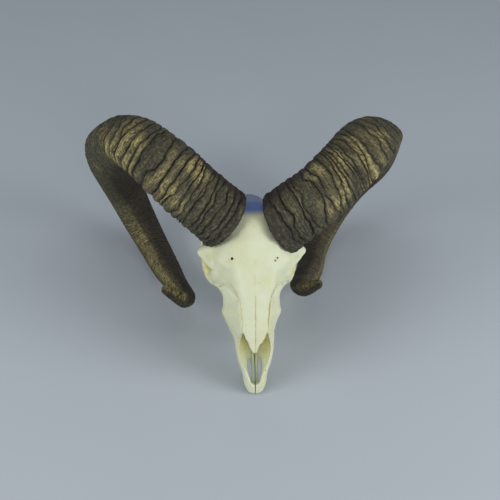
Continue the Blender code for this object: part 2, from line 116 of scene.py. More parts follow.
def natural_spline(knots: Sequence[float], values: Sequence[float], at: Array) -> Array:
    """Natural cubic spline: piecewise cubics whose second derivative is nought at both ends.

    Args:
        knots: rising parameters of the known values.
        values: the known values.
        at: parameters to work out.

    Returns:
        The curve at those parameters.
    """
    x, y = np.asarray(knots, float), np.asarray(values, float)
    step, count = np.diff(x), len(x)
    system = np.eye(count)
    inner = np.arange(1, count - 1)
    system[inner, inner - 1] = step[:-1]
    system[inner, inner] = 2 * (step[:-1] + step[1:])
    system[inner, inner + 1] = step[1:]
    bend = np.zeros(count)
    bend[1:-1] = 6 * np.diff(np.diff(y) / step)
    bend = np.linalg.solve(system, bend)
    i = np.clip(np.searchsorted(x, at) - 1, 0, count - 2)
    h, a = step[i], at - x[i]
    b = h - a
    cubic = (bend[i] * b**3 + bend[i + 1] * a**3) / (6 * h)
    return cubic + (y[i] / h - bend[i] * h / 6) * b + (y[i + 1] / h - bend[i + 1] * h / 6) * a


def ramp(value: Array, low: float, high: float) -> Array:
    """Smooth step from 0 at low to 1 at high: 3t^2 - 2t^3."""
    t = np.clip((value - low) / (high - low), 0, 1)
    return t * t * (3 - 2 * t)


def drift(u: Array, v: Array, rows: int, columns: int, seed: int) -> Array:
    """Smooth noise on a sheet that closes in v: random lattice values blended by 3t^2 - 2t^3.

    Args:
        u: position along the sheet, 0 to 1.
        v: position round it, 0 to 1, which wraps.
        rows: lattice cells along.
        columns: lattice cells round.
        seed: seed of the lattice.

    Returns:
        Values from about -1 to 1, in the shape of u and v.
    """
    lattice = np.random.default_rng(seed).uniform(-1, 1, (rows + 2, columns))
    x, y = np.clip(u, 0, 1) * rows, (v % 1.0) * columns
    i, j = x.astype(int), y.astype(int) % columns
    s, t = x - x.astype(int), y - np.floor(y)
    s, t = s * s * (3 - 2 * s), t * t * (3 - 2 * t)
    after = (j + 1) % columns
    low = lattice[i, j] * (1 - t) + lattice[i, after] * t
    high = lattice[i + 1, j] * (1 - t) + lattice[i + 1, after] * t
    return low * (1 - s) + high * s


def grain(x: Array, y: Array, z: Array, size: float, seed: int) -> Array:
    """Smooth noise in space: a hash of the lattice corners round a point, blended by 3t^2 - 2t^3.

    Args:
        x: first coordinates.
        y: second coordinates.
        z: third coordinates.
        size: lattice cell in the same unit.
        seed: changes the hash.

    Returns:
        Values from -1 to 1, in the shape the three coordinates broadcast to.
    """
    parts = [np.asarray(c, float) / size + 512.0 for c in (x, y, z)]
    cells = [np.floor(c).astype(np.int64) for c in parts]
    blend = [(c - cell) for c, cell in zip(parts, cells)]
    blend = [t * t * (3 - 2 * t) for t in blend]
    total = 0.0
    for corner in range(8):
        offset = (corner & 1, corner >> 1 & 1, corner >> 2)
        key = sum((cell + o) * k for cell, o, k in zip(cells, offset, HASH_AXES))
        key = (key + seed * HASH_SEED) & HASH_MASK
        for shift, factor in HASH_MIX:
            key = ((key ^ (key >> shift)) * factor) & HASH_MASK
        value = ((key ^ (key >> 16)) & 0xFFFF) / 32767.5 - 1.0
        weight = 1.0
        for t, o in zip(blend, offset):
            weight = weight * (t if o else 1 - t)
        total = total + value * weight
    return total


# ---------------------------------------------------------------- fields of solid shapes


def least(a: Array, b: Array, round_off: float) -> Array:
    """Union of two fields with a fillet: min(a, b) less h^2 k / 4, h = max(k - |a - b|, 0) / k."""
    h = np.maximum(round_off - np.abs(a - b), 0) / round_off
    return np.minimum(a, b) - h * h * round_off / 4


def most(a: Array, b: Array, round_off: float) -> Array:
    """Overlap of two fields with a rounded edge, the union of their outsides turned about."""
    return -least(-a, -b, round_off)


def egg(p: Sequence[Array], centre: Point, radii: Point) -> Array:
    """Field of an ellipsoid: k0 (k0 - 1) / k1, k0 the scaled distance and k1 the length of its slope.

    Args:
        p: X, Y and Z of the places.
        centre: its middle.
        radii: its half widths.

    Returns:
        The field at those places.
    """
    q = [p[i] - centre[i] for i in range(3)]
    k0 = np.sqrt(sum((q[i] / radii[i]) ** 2 for i in range(3)))
    k1 = np.sqrt(sum((q[i] / radii[i] ** 2) ** 2 for i in range(3)))
    return k0 * (k0 - 1) / np.maximum(k1, 1e-6)


def rod(p: Sequence[Array], start: Knot, end: Knot) -> Array:
    """Field of a tapered rod: distance to the segment less the radius blended along it.

    Args:
        p: X, Y and Z of the places.
        start: point and radius of one end.
        end: point and radius of the other.

    Returns:
        The field at those places.
    """
    (a, ra), (b, rb) = start, end
    d = [b[i] - a[i] for i in range(3)]
    q = [p[i] - a[i] for i in range(3)]
    h = np.clip(sum(q[i] * d[i] for i in range(3)) / sum(c * c for c in d), 0, 1)
    return np.sqrt(sum((q[i] - h * d[i]) ** 2 for i in range(3))) - (ra + (rb - ra) * h)


def limb(p: Sequence[Array], chain: Chain) -> Array:
    """Field of a chain of tapered rods: the least of theirs.

    Args:
        p: X, Y and Z of the places.
        chain: points with radii.

    Returns:
        The field at those places.
    """
    field = rod(p, chain[0], chain[1])
    for start, end in zip(chain[1:-1], chain[2:]):
        field = np.minimum(field, rod(p, start, end))
    return field


def flank(x: Array, y: Array, ax: Array, ay: Array, bx: Array, by: Array) -> Array:
    """Signed distance from the line through a and b in a cross-section, positive on its outer side."""
    nx, ny = by - ay, ax - bx
    return ((x - ax) * nx + (y - ay) * ny) / np.sqrt(nx * nx + ny * ny)


# ---------------------------------------------------------------- meshes


def mesh_piece(
    name: str, points: Array, quads: Array, material: bpy.types.Material, lids: Sequence[Array] = ()
) -> bpy.types.Object:
    """Object with a smooth mesh of quads and flat lids, at the origin and unturned.

    Args:
        name: piece name.
        points: vertices in metres.
        quads: rows of four vertex numbers, anticlockwise from outside.
        material: its only finish.
        lids: rings of vertex numbers, each closed by one flat face, so that its rim stays sharp.

    Returns:
        The linked object.
    """
    corners = np.concatenate((quads.ravel(), *lids)).astype(np.int32)
    sizes = np.concatenate((np.full(len(quads), 4), [len(lid) for lid in lids])).astype(np.int32)
    mesh = bpy.data.meshes.new(name)
    mesh.vertices.add(len(points))
    mesh.vertices.foreach_set("co", points.astype(np.float32).ravel())
    mesh.loops.add(len(corners))
    mesh.loops.foreach_set("vertex_index", corners)
    mesh.polygons.add(len(sizes))
    mesh.polygons.foreach_set("loop_start", (np.cumsum(sizes) - sizes).astype(np.int32))
    mesh.polygons.foreach_set("use_smooth", np.arange(len(sizes)) < len(quads))
    mesh.update(calc_edges=True)
    mesh.materials.append(material)
    piece = bpy.data.objects.new(name, mesh)
    bpy.context.scene.collection.objects.link(piece)
    return piece


def store(piece: bpy.types.Object, name: str, values: Array) -> None:
    """Keep one number a vertex on the mesh, for the material to read.

    Args:
        piece: the object.
        name: attribute name.
        values: one number for each vertex.
    """
    layer = piece.data.attributes.new(name, "FLOAT", "POINT")
    layer.data.foreach_set("value", values.astype(np.float32))


def sheet_quads(rows: int, columns: int) -> Array:
    """Quads of a sheet that closes round: place j of ring i, the next round it, and both a ring on.

    Args:
        rows: rings along the sheet.
        columns: points in a ring.

    Returns:
        Rows of four vertex numbers.
    """
    i, j = np.meshgrid(np.arange(rows - 1), np.arange(columns), indexing="ij")
    k = (j + 1) % columns
    quads = (i * columns + j, i * columns + k, (i + 1) * columns + k, (i + 1) * columns + j)
    return np.stack(quads, axis=2).reshape(-1, 4)


def level_grid(low: Point, high: Point, step: float) -> tuple[list[Array], tuple[Array, Array, Array]]:
    """Even grid over a box.

    Args:
        low: least corner.
        high: greatest corner.
        step: grid step.

    Returns:
        The three axes, and the same three shaped to broadcast over the grid.
    """
    axes = [np.arange(a, b + step / 2, step, dtype=np.float32) for a, b in zip(low, high)]
    return axes, (axes[0][:, None, None], axes[1][None, :, None], axes[2][None, None, :])


def net_surface(field: Array, axes: list[Array]) -> tuple[Array, Array]:
    """Quads on the zero level of a field, by surface nets.

    Each grid cell that the level crosses gets one vertex, at the mean of the crossings on its edges.
    Each grid edge that it crosses gets one quad, through the four cells round the edge.

    Args:
        field: values on the grid, negative inside.
        axes: the grid's axes.

    Returns:
        Vertices, and rows of four vertex numbers.
    """
    inside = field < 0
    corners = np.array([(i, j, k) for i in (0, 1) for j in (0, 1) for k in (0, 1)])
    shape = tuple(n - 1 for n in inside.shape)
    count = np.zeros(shape, np.int8)
    for i, j, k in corners:
        count += inside[i : i + shape[0], j : j + shape[1], k : k + shape[2]]
    cells = np.argwhere((count > 0) & (count < 8))
    number = np.full(shape, -1, np.int32)
    number[tuple(cells.T)] = np.arange(len(cells))
    values = np.stack([field[tuple((cells + corner).T)] for corner in corners], axis=1)
    place, crossings = np.zeros((len(cells), 3)), np.zeros(len(cells))
    for a in range(8):
        for b in range(a + 1, 8):
            if np.abs(corners[a] - corners[b]).sum() != 1:
                continue
            crossed = (values[:, a] < 0) != (values[:, b] < 0)
            share = np.where(crossed, values[:, a] / np.where(crossed, values[:, a] - values[:, b], 1), 0)
            spot = corners[a] + share[:, None] * (corners[b] - corners[a])
            place += np.where(crossed[:, None], spot, 0)
            crossings += crossed
    place = place / crossings[:, None] + cells
    points = np.stack([axes[i][0] + place[:, i] * (axes[i][1] - axes[i][0]) for i in range(3)], axis=1)
    quads = []
    for d in range(3):
        first, second = [slice(None)] * 3, [slice(None)] * 3
        first[d], second[d] = slice(0, -1), slice(1, None)
        edges = np.argwhere(inside[tuple(first)] != inside[tuple(second)])
        u, v = (d + 1) % 3, (d + 2) % 3
        whole = (edges[:, u] > 0) & (edges[:, v] > 0)
        whole &= (edges[:, u] < shape[u]) & (edges[:, v] < shape[v])
        edges = edges[whole]
        step_u, step_v = np.eye(3, dtype=int)[u], np.eye(3, dtype=int)[v]
        ring = (edges - step_u - step_v, edges - step_v, edges, edges - step_u)
        quad = np.stack([number[tuple(cell.T)] for cell in ring], axis=1)
        flip = ~inside[tuple(edges.T)]
        quad[flip] = quad[flip][:, ::-1]
        quads.append(quad)
    return points, np.concatenate(quads)


# ---------------------------------------------------------------- finishes


class Nodes:
    """Short way to lay out a material's nodes."""

    def __init__(self, name: str) -> None:
        """Empty material with its shader and output.

        Args:
            name: material name.
        """
        self.material = bpy.data.materials.new(name)
        self.material.use_nodes = True
        self.tree = self.material.node_tree
        self.shader = self.tree.nodes["Principled BSDF"]
        self.place = self.add("ShaderNodeTexCoord").outputs["Object"]

    def add(self, kind: str, **settings: object) -> bpy.types.Node:
        """New node.

        Args:
            kind: its type.
            settings: its properties by name.

        Returns:
            The node.
        """
        node = self.tree.nodes.new(kind)
        for key, value in settings.items():
            setattr(node, key, value)
        return node

    def put(self, socket: bpy.types.NodeSocket, value: object) -> None:
        """Link an output to a socket, or set the socket to a plain value.

        Args:
            socket: the input.
            value: an output, a colour or a number.
        """
        if isinstance(value, bpy.types.NodeSocket):
            self.tree.links.new(value, socket)
        elif isinstance(value, tuple) and len(value) == 3 and socket.type == "RGBA":
            socket.default_value = (*value, 1.0)
        else:
            socket.default_value = value

    def noise(
        self, scale: float, detail: float = 4.0, rough: float = 0.55, at: object = None
    ) -> bpy.types.NodeSocket:
        """Noise in space, 0 to 1.

        Args:
            scale: cells in a metre, or in a unit of the given coordinates.
            detail: octaves.
            rough: share of each finer octave.
            at: coordinates; the object's own when left out.

        Returns:
            The noise value.
        """
        node = self.add("ShaderNodeTexNoise")
        self.put(node.inputs["Vector"], self.place if at is None else at)
        node.inputs["Scale"].default_value = scale
        node.inputs["Detail"].default_value = detail
        node.inputs["Roughness"].default_value = rough
        return node.outputs["Fac"]

    def stretched(self, at: object, scale: Point) -> bpy.types.NodeSocket:
        """Coordinates scaled along each axis.

        Args:
            at: the coordinates.
            scale: the factors.

        Returns:
            The scaled coordinates.
        """
        node = self.add("ShaderNodeMapping")
        self.put(node.inputs["Vector"], at)
        node.inputs["Scale"].default_value = scale
        return node.outputs["Vector"]

    def math(self, kind: str, *terms: object, clamp: bool = False) -> bpy.types.NodeSocket:
        """One arithmetic step.

        Args:
            kind: the operation.
            terms: two or three numbers or outputs.
            clamp: keep the result from 0 to 1.

        Returns:
            The result.
        """
        node = self.add("ShaderNodeMath", operation=kind, use_clamp=clamp)
        for socket, term in zip(node.inputs, terms):
            self.put(socket, term)
        return node.outputs[0]

    def span(self, value: object, low: float, high: float) -> bpy.types.NodeSocket:
        """Value taken from low..high to 0..1, smoothly and clamped.

        Args:
            value: the value.
            low: what becomes 0.
            high: what becomes 1.

        Returns:
            The share.
        """
        node = self.add("ShaderNodeMapRange", interpolation_type="SMOOTHSTEP")
        self.put(node.inputs["Value"], value)
        node.inputs["From Min"].default_value = low
        node.inputs["From Max"].default_value = high
        return node.outputs["Result"]

    def mix(self, share: object, a: object, b: object) -> bpy.types.NodeSocket:
        """Colour between two others.

        Args:
            share: how much of the second.
            a: the first.
            b: the second.

        Returns:
            The colour.
        """
        node = self.add("ShaderNodeMix", data_type="RGBA")
        self.put(node.inputs["Factor"], share)
        self.put(node.inputs["A"], a)
        self.put(node.inputs["B"], b)
        return node.outputs["Result"]

    def read(self, name: str) -> bpy.types.NodeSocket:
        """A number that the mesh keeps for each vertex."""
        return self.add("ShaderNodeAttribute", attribute_name=name).outputs["Fac"]

    def relief(self, height: object, depth: float, under: object = None) -> bpy.types.NodeSocket:
        """Bump on top of another.

        Args:
            height: what it follows.
            depth: its depth in metres.
            under: the bump below, or None.

        Returns:
            The bent normal.
        """
        node = self.add("ShaderNodeBump")
        node.inputs["Distance"].default_value = depth
        self.put(node.inputs["Height"], height)
        if under is not None:
            self.put(node.inputs["Normal"], under)
        return node.outputs["Normal"]


@dataclass(frozen=True)
class BoneFinish:
    """Bleached bone: cream with cooler and yellower clouds, stained in its hollows and sutures, with painted
    shade in its nerve holes.
    """

    name: str = "bleached_bone"
    pale: Colour = (0.70, 0.74, 0.56)
    cream: Colour = (0.66, 0.685, 0.455)
    stain: Colour = (0.68, 0.63, 0.28)
    # Brown of the sutures and specks, also the painted shade in the nerve holes.
    seam: Colour = (0.40, 0.31, 0.12)
    slate: Colour = (0.150, 0.225, 0.55)
    roughness: float = 0.42

    def material(self) -> bpy.types.Material:
        """Material that reads the mesh's stain, seam and slate numbers.

        Returns:
            The material.
        """
        n = Nodes(self.name)
        clouds = n.span(n.noise(38.0, 5.0), 0.36, 0.66)
        colour = n.mix(clouds, self.pale, self.cream)
        speck = n.span(n.noise(620.0, 3.0), 0.70, 0.80)
        colour = n.mix(n.math("MULTIPLY", speck, 0.35), colour, self.stain)
        patch = n.math("MULTIPLY", n.read("stain"), n.span(n.noise(160.0, 4.0), 0.18, 0.62), clamp=True)
        colour = n.mix(patch, colour, self.stain)
        # Brown in the sutures and specks, and painted shade in the nerve holes.
        line = n.math("MULTIPLY", n.read("seam"), n.span(n.noise(240.0, 3.0), 0.30, 0.58), clamp=True)
        colour = n.mix(line, colour, self.seam)
        colour = n.mix(n.read("slate"), colour, self.slate)
        n.put(n.shader.inputs["Base Color"], colour)
        rough = n.math("MULTIPLY_ADD", n.noise(300.0, 3.0), 0.22, self.roughness)
        n.put(n.shader.inputs["Roughness"], rough)
        pores = n.relief(n.noise(1500.0, 3.0, 0.6), 0.00012)
        n.put(n.shader.inputs["Normal"], n.relief(n.noise(240.0, 5.0), 0.0003, pores))
        n.shader.inputs["Subsurface Weight"].default_value = 0.08
        n.shader.inputs["Subsurface Radius"].default_value = (0.004, 0.003, 0.0018)
        n.shader.inputs["Subsurface Scale"].default_value = 1.0
        n.shader.inputs["Specular IOR Level"].default_value = 0.4
        return n.material


@dataclass(frozen=True)
class ToothFinish:
    """Old tooth enamel: ivory with brown stain towards the gum and in the furrows."""

    name: str = "worn_enamel"
    ivory: Colour = (0.70, 0.66, 0.50)
    brown: Colour = (0.16, 0.11, 0.055)

    def material(self) -> bpy.types.Material:
        """Material that reads the mesh's stain number.

        Returns:
            The material.
        """
        n = Nodes(self.name)
        share = n.math("MULTIPLY", n.read("stain"), n.span(n.noise(300.0, 4.0), 0.2, 0.7), clamp=True)
        n.put(n.shader.inputs["Base Color"], n.mix(share, self.ivory, self.brown))
        n.shader.inputs["Roughness"].default_value = 0.32
        n.put(n.shader.inputs["Normal"], n.relief(n.noise(700.0, 3.0), 0.00015))
        return n.material


@dataclass(frozen=True)
class HornFinish:
    """Horn sheath: olive brown, golden on worn ridges and in painted highlights, near black in grooves with
    dirt and painted shade, and darkened by painted shade on the side turned from the light.

    Fibres run along it and streaks along its ridges, in cells to a decimetre along and to half way round.
    """

    name: str = "horn_sheath"
    body: Colour = (0.205, 0.188, 0.088)
    dark: Colour = (0.038, 0.036, 0.027)
    # Gold of worn crests, and of the painted highlights on the falls and tips.
    gold: Colour = (0.70, 0.58, 0.23)
    # Near black of dirt and painted shade in the grooves, and of the dark base.
    groove: Colour = (0.004, 0.0035, 0.003)
    # Reddish dark of the painted shade on the side turned from the light.
    shade: Colour = (0.036, 0.022, 0.021)
    fibre_scale: Point = (7.0, 70.0, 1.0)
    streak_scale: Point = (90.0, 9.0, 1.0)

    def material(self) -> bpy.types.Material:
        """Material that reads the mesh's numbers for gold crests, near black grooves and painted shade, and
        its own UV map.

        Returns:
            The material.
        """
        n = Nodes(self.name)
        uv = n.add("ShaderNodeUVMap", uv_map="lengthwise").outputs["UV"]
        fibres = n.noise(1.0, 2.5, 0.5, n.stretched(uv, self.fibre_scale))
        hatch = n.span(fibres, 0.34, 0.66)
        streaks = n.noise(1.0, 4.0, 0.65, n.stretched(uv, self.streak_scale))
        colour = n.mix(n.span(n.noise(280.0, 5.0, 0.72), 0.38, 0.62), self.dark, self.body)
        colour = n.mix(n.math("MULTIPLY", n.span(streaks, 0.62, 0.40), 0.8), colour, self.dark)
        # Gold on worn crests and in the painted highlights.
        worn = n.math("MULTIPLY", n.read("crest"), n.math("MULTIPLY_ADD", hatch, 0.2, 0.8))
        worn = n.math("MULTIPLY", worn, n.span(n.noise(240.0, 5.0, 0.68), 0.34, 0.58), clamp=True)
        worn = n.math("MULTIPLY", worn, n.span(streaks, 0.30, 0.56), clamp=True)
        colour = n.mix(worn, colour, self.gold)
        colour = n.mix(n.math("MULTIPLY_ADD", hatch, -0.16, 0.16), colour, self.dark)
        # Painted shade on the side turned from the light, then dirt and painted shade in the grooves.
        colour = n.mix(n.read("shade"), colour, self.shade)
        colour = n.mix(n.read("groove"), colour, self.groove)
        n.put(n.shader.inputs["Base Color"], colour)
        n.put(n.shader.inputs["Roughness"], n.math("MULTIPLY_ADD", n.noise(420.0, 3.0), 0.3, 0.45))
        fine = n.relief(n.noise(520.0, 6.0, 0.7), 0.0014)
        fine = n.relief(streaks, 0.0012, fine)
        n.put(n.shader.inputs["Normal"], n.relief(fibres, 0.0003, fine))
        n.shader.inputs["Specular IOR Level"].default_value = 0.4
        return n.material


@dataclass(frozen=True)
class FloorFinish:
    """Matt studio paper, cool pale grey."""

    name: str = "studio_paper"
    grey: Colour = (0.475, 0.53, 0.59)

    def material(self) -> bpy.types.Material:
        """Plain matt material with a faint mottle.

        Returns:
            The material.
        """
        n = Nodes(self.name)
        shade = n.mix(n.noise(9.0, 2.0), self.grey, tuple(c * 0.97 for c in self.grey))
        n.put(n.shader.inputs["Base Color"], shade)
        n.shader.inputs["Roughness"].default_value = 0.9
        n.shader.inputs["Specular IOR Level"].default_value = 0.1
        return n.material


# ---------------------------------------------------------------- horns


@dataclass(frozen=True)
class HornShape:
    """Centre line, section and ridges of one horn, in millimetres of the face frame.

    The centre line is a spiral about an axis across the head at (depth Y, height Z). Each station is the
    angle round the axis from the viewer's side over the top, the reach from the axis, the distance out
    and the half width there. The pitches are distances along with the mean spacing of ridges there.
    Worn patches and dents are share along, degrees round, half length, half breadth in degrees, and
    strength or millimetres out. The rim's slant is its value at the rim, its last value and the distance
    in which it fades. inner_from holds the cosines where the painted shade of the inner face begins at
    three shares along; lead is how far the grooves run ahead on the crown's side, at distances along.
    tip_worn and edge_highlight are strengths of the painted highlights over the tip and along the falls'
    outer edge, tip_dark that of the painted shade under the tip, and base_dark that of the dark at the base.
    """

    side: Side
    stations: tuple[tuple[float, float, float, float], ...]
    rim_slant: tuple[float, float, float]
    seed: int
    worn: tuple[tuple[float, float, float, float, float], ...]
    dents: tuple[tuple[float, float, float, float, float], ...]
    roll_pitch: tuple[tuple[float, float], ...]
    curl_axis: tuple[float, float] = (135.0, 48.0)
    front_share: float = 0.74
    back_share: float = 0.9
    keel: float = 0.28
    twist: float = 28.0
    inner_from: tuple[float, float, float] = (0.66, 0.34, 0.0)
    # Strengths of the painted highlights over the tip and along the falls' outer edge.
    tip_worn: float = 1.4
    edge_highlight: float = 0.75
    # Strength of the painted shade under the tip.
    tip_dark: float = 0.15
    rim_turn: float = 0.09
    lead: tuple[tuple[float, float], ...] = ((0, 0), (60, 6), (130, 13), (210, 13), (300, 4))
    tip_rounding: float = 5.0
    rim_from: float = 0.9
    base_dark: float = 0.0
    ring_pitch: tuple[tuple[float, float], ...] = ((0, 3.0), (150, 3.0), (600, 2.4))
    ridge_curve: float = 2.2
    ridge_height: float = 0.31
    widest_ridge: float = 11.0
    ridge_wander: float = 0.58
    ring_wander: float = 0.5
    groove_depth: float = 0.7
    groove_half: float = 0.65
    ring_groove_half: float = 0.55

    def line(self, count: int = 1200) -> tuple[Array, Array, Array, Array]:
        """Centre line: X = out, Y = axis - reach cos t, Z = axis + reach sin t, each a spline of t.

        Args:
            count: points on the line.

        Returns:
            Distances along it, points, angles t and half widths.
        """
        angles, reaches, outs, halves = np.array(self.stations, float).T
        fine = np.linspace(angles[0], angles[-1], count)
        turn, reach = np.radians(fine), natural_spline(angles, reaches, fine)
        across = natural_spline(angles, outs, fine) * self.side.value
        depth, height = self.curl_axis
        points = np.stack((across, depth - reach * np.cos(turn), height + reach * np.sin(turn)), axis=1)
        steps = np.linalg.norm(np.diff(points, axis=0), axis=1)
        along = np.concatenate(([0.0], np.cumsum(steps)))
        return along, points, turn, natural_spline(angles, halves, fine)

    def surface(self, distance: Array, angle: Array, swell: Array) -> Array:
        """Skin of the horn: centre + size (outward d + sideways a + tangent (turn a - slant d)).

        d is cos(angle) times the front or back share, a is sin(angle) narrowed at the back by the keel,
        the two turned by a twist that grows along the horn; size is the half width plus the swell.
        Slant and turn tilt the section where the horn leaves the skull, and fade along it.

        Args:
            distance: along the centre line, a column.
            angle: round the section, a row.
            swell: how far the skin stands out, one for each of both.

        Returns:
            Points in the face frame, rows by columns by three.
        """
        along, points, turn, widths = self.line()
        s = distance.ravel()
        centre = np.stack([np.interp(s, along, column) for column in points.T], axis=1)
        ahead = np.stack([np.interp(s + 2, along, column) for column in points.T], axis=1)
        behind = np.stack([np.interp(s - 2, along, column) for column in points.T], axis=1)
        tangent = ahead - behind
        tangent /= np.linalg.norm(tangent, axis=1)[:, None]
        t = np.interp(s, along, turn)
        outward = np.stack((np.zeros_like(t), -np.cos(t), np.sin(t)), axis=1)
        outward -= tangent * (outward * tangent).sum(axis=1)[:, None]
        outward /= np.linalg.norm(outward, axis=1)[:, None]
        sideways = np.cross(outward, tangent)
        share = s / along[-1]
        first, last, fade = self.rim_slant
        slant = ((last + (first - last) * np.exp(-s / fade)) * (1 - share))[:, None]
        turned = (self.rim_turn * self.side.value * np.exp(-s / fade))[:, None]
        front, wide = np.cos(angle), np.sin(angle)
        deep = front * np.where(front > 0, self.front_share, self.back_share)
        wide = wide * (1 + self.keel * np.minimum(front, 0.0))
        twist = np.radians(self.twist * share * self.side.value)[:, None]
        cos, sin = np.cos(twist), np.sin(twist)
        deep, wide = deep * cos - wide * sin, deep * sin + wide * cos
        size = np.interp(s, along, widths)[:, None] + swell
        tilt = turned * wide - slant * deep
        offset = [
            size * (outward[:, i, None] * deep + sideways[:, i, None] * wide + tangent[:, i, None] * tilt)
            for i in range(3)
        ]
        return np.stack([centre[:, i, None] + offset[i] for i in range(3)], axis=2)

    def grooves(self, v: Array, pitch: Sequence[tuple[float, float]], wander: float, seed: int) -> Array:
        """Where the grooves cross each line along the horn: even marks moved by noise, then sorted.

        Noise moves each groove on its own by up to a share of the spacing, so that grooves meet and part.
        On the edge towards the crown they lead by a sine of the angle, as the bend crowds them below.

        Args:
            v: share of the way round, one for each column.
            pitch: distances along with the mean spacing there.
            wander: how far a groove strays, as a share of its spacing.
            seed: seed of the noise.

        Returns:
            Distances along, a row for each groove and a column for each v.
        """
        whole = self.line()[0][-1]
        marks = [0.0]
        while marks[-1] < whole:
            marks.append(marks[-1] + float(np.interp(marks[-1], *np.array(pitch).T)))
        lines = np.array(marks)[:, None]
        count = len(lines)
        order, v = np.broadcast_arrays(np.arange(count)[:, None] / count, v[None, :])
        stray = drift(order, v, count, 5, seed) + 0.35 * drift(order, v, count, 19, seed + 1)
        together = 1.6 * drift(order, v, count // 5 + 1, 4, seed + 3)
        space = np.gradient(lines[:, 0])[:, None]
        ahead = np.interp(lines, *np.array(self.lead, float).T) * np.sin(2 * math.pi * v) * self.side.value
        lines = np.sort(lines + wander * space * stray + together + ahead, axis=0)
        lines[0], lines[-1] = -4.0, whole + 1.0
        return lines

    @staticmethod
    def between(s: Array, lines: Array) -> tuple[Array, Array, Array]:
        """Which ridge each place is on.

        Args:
            s: distances along, a column for each line along the horn.
            lines: where the grooves cross those lines.

        Returns:
            Number of the ridge, the share of the way across it and its width.
        """
        number = np.clip((s[None] >= lines[:, None, :]).sum(axis=0) - 1, 0, len(lines) - 2)
        low = np.take_along_axis(lines, number, axis=0)
        width = np.take_along_axis(lines, number + 1, axis=0) - low
        return number, (s - low) / np.maximum(width, 0.05), width

    def relief(self, distance: Array, angle: Array) -> dict[str, Array]:
        """Growth ridges and what the finish needs of them.

        Across each ridge the skin follows 1 - |2t - 1|^2.2, t the share of the way across, the higher
        the wider the ridge; narrow bells cut the grooves. Fine rings ride on the ridges. The rim is rough
        and rounded over, and the dents press the outline in.

        Args:
            distance: along the centre line, a column.
            angle: round the section, a row.

        Returns:
            The swell in millimetres, and from 0 to 1 the gold of crests with painted highlights, the near
            black of grooves with painted shade, and the painted shade.
        """
        whole, seed = self.line()[0][-1], self.seed * 100
        u = distance / whole + 0 * angle
        v = angle / (2 * math.pi) + 0 * distance
        s = u * whole
        jagged = s + 0.7 * drift(u, v, 170, 44, seed + 2) + 0.35 * drift(u, v, 400, 120, seed + 3)
        ridge_lines = self.grooves(v[0], self.roll_pitch, self.ridge_wander, seed)
        ring_lines = self.grooves(v[0], self.ring_pitch, self.ring_wander, seed + 20)
        number, share, width = self.between(jagged, ridge_lines)
        _, ring_share, ring_width = self.between(jagged, ring_lines)
        tone = np.random.default_rng(seed + 40).uniform(-1, 1, 500)[number]
        # Ridges are strong at the base, and weaker past the bend, on the inner side and to the head.
        strong = 1 - 0.72 * ramp(s, 170, 260)
        strong = strong * (0.45 + 0.55 * ramp(np.cos(angle), -0.8, -0.1))
        strong = strong * (1 - 0.5 * ramp(self.facing(angle, 100), 0.4, 0.95))
        falls = ramp(u, 0.36, 0.5)
        deep = np.clip(0.55 + 0.9 * drift(u, v, 60, 12, seed + 6), 0.08, 1)
        patch = ramp(drift(u, v, 30, 6, seed + 5), -0.4, 0.5)
        # Profiles of ridge and ring, and the grooves between them.
        roll = 1 - np.abs(2 * share - 1) ** self.ridge_curve
        ring = 1 - np.abs(2 * ring_share - 1) ** self.ridge_curve
        cleft = np.exp(-((np.minimum(share, 1 - share) * width / self.groove_half) ** 2)) * deep
        edge = np.minimum(ring_share, 1 - ring_share) * ring_width
        scratch = np.exp(-((edge / self.ring_groove_half) ** 2))
        # The skin: ridges, rings, roughness and lumps, the rounded rim and the dents.
        rim = np.exp(-s / 9.0)
        rough = drift(u, v, 420, 150, seed + 7) + drift(u, v, 210, 70, seed + 8)
        lumps = drift(u, v, 130, 44, seed + 9)
        height = self.ridge_height * np.minimum(width, self.widest_ridge) * (0.85 + 0.2 * tone)
        swell = strong * (height * (roll - 0.6) - self.groove_depth * cleft)
        swell += (0.13 + 0.08 * falls) * ring_width * (0.4 + 0.6 * patch) * (ring - 0.6)
        swell += rough * (0.18 + 0.45 * rim) + lumps * (0.3 * strong + 0.7 * rim)
        swell += 0.8 * np.exp(-s / 7) - 0.9 * np.exp((self.rim_from - s) / 0.8)
        swell += self.bells(self.dents, u, angle)
        # What the finish reads: gold on worn crests and painted highlights, near black for dirt and painted
        # shade in grooves, painted shade on the side turned from the light.
        worn = self.bells(self.worn, u, angle) + 0.5 * drift(u, v, 34, 10, seed + 12) + 0.2 * tone
        crest = roll**1.6 * ramp(worn, 0.05, 0.95) * ramp(s, 5, 26) * (1 - ramp(u, 0.42, 0.52))
        # Painted highlights along the falls' outer edge and over the tips, golden like the worn crests.
        crest = np.maximum(crest, self.painted_highlight(u, angle) * (0.35 + 0.65 * ring))
        # Near black: dirt and painted shade in the grooves and the valleys between ridges, in the fine
        # rings' grooves, and a darker base.
        groove = cleft * (0.35 + 0.65 * strong) + 0.5 * strong * (1 - roll) ** 2
        groove = groove + scratch * (0.18 + 0.3 * patch + 0.2 * falls)
        groove = groove + (0.22 + 0.3 * ramp(lumps, 0.2, -0.6)) * np.exp(-s / 14)
        groove = groove + self.base_dark * np.exp(-s / 30)
        # Painted shade on the side turned from the light; on the falls the fine rings show through it.
        shade = self.painted_shade(u, angle) * (1 - 0.4 * ring * ramp(u, 0.4, 0.5))
        return {
            "swell": swell,
            "crest": np.clip(crest, 0, 1),
            "groove": np.clip(groove, 0, 1),
            "shade": np.clip(shade, 0, 0.9),
        }

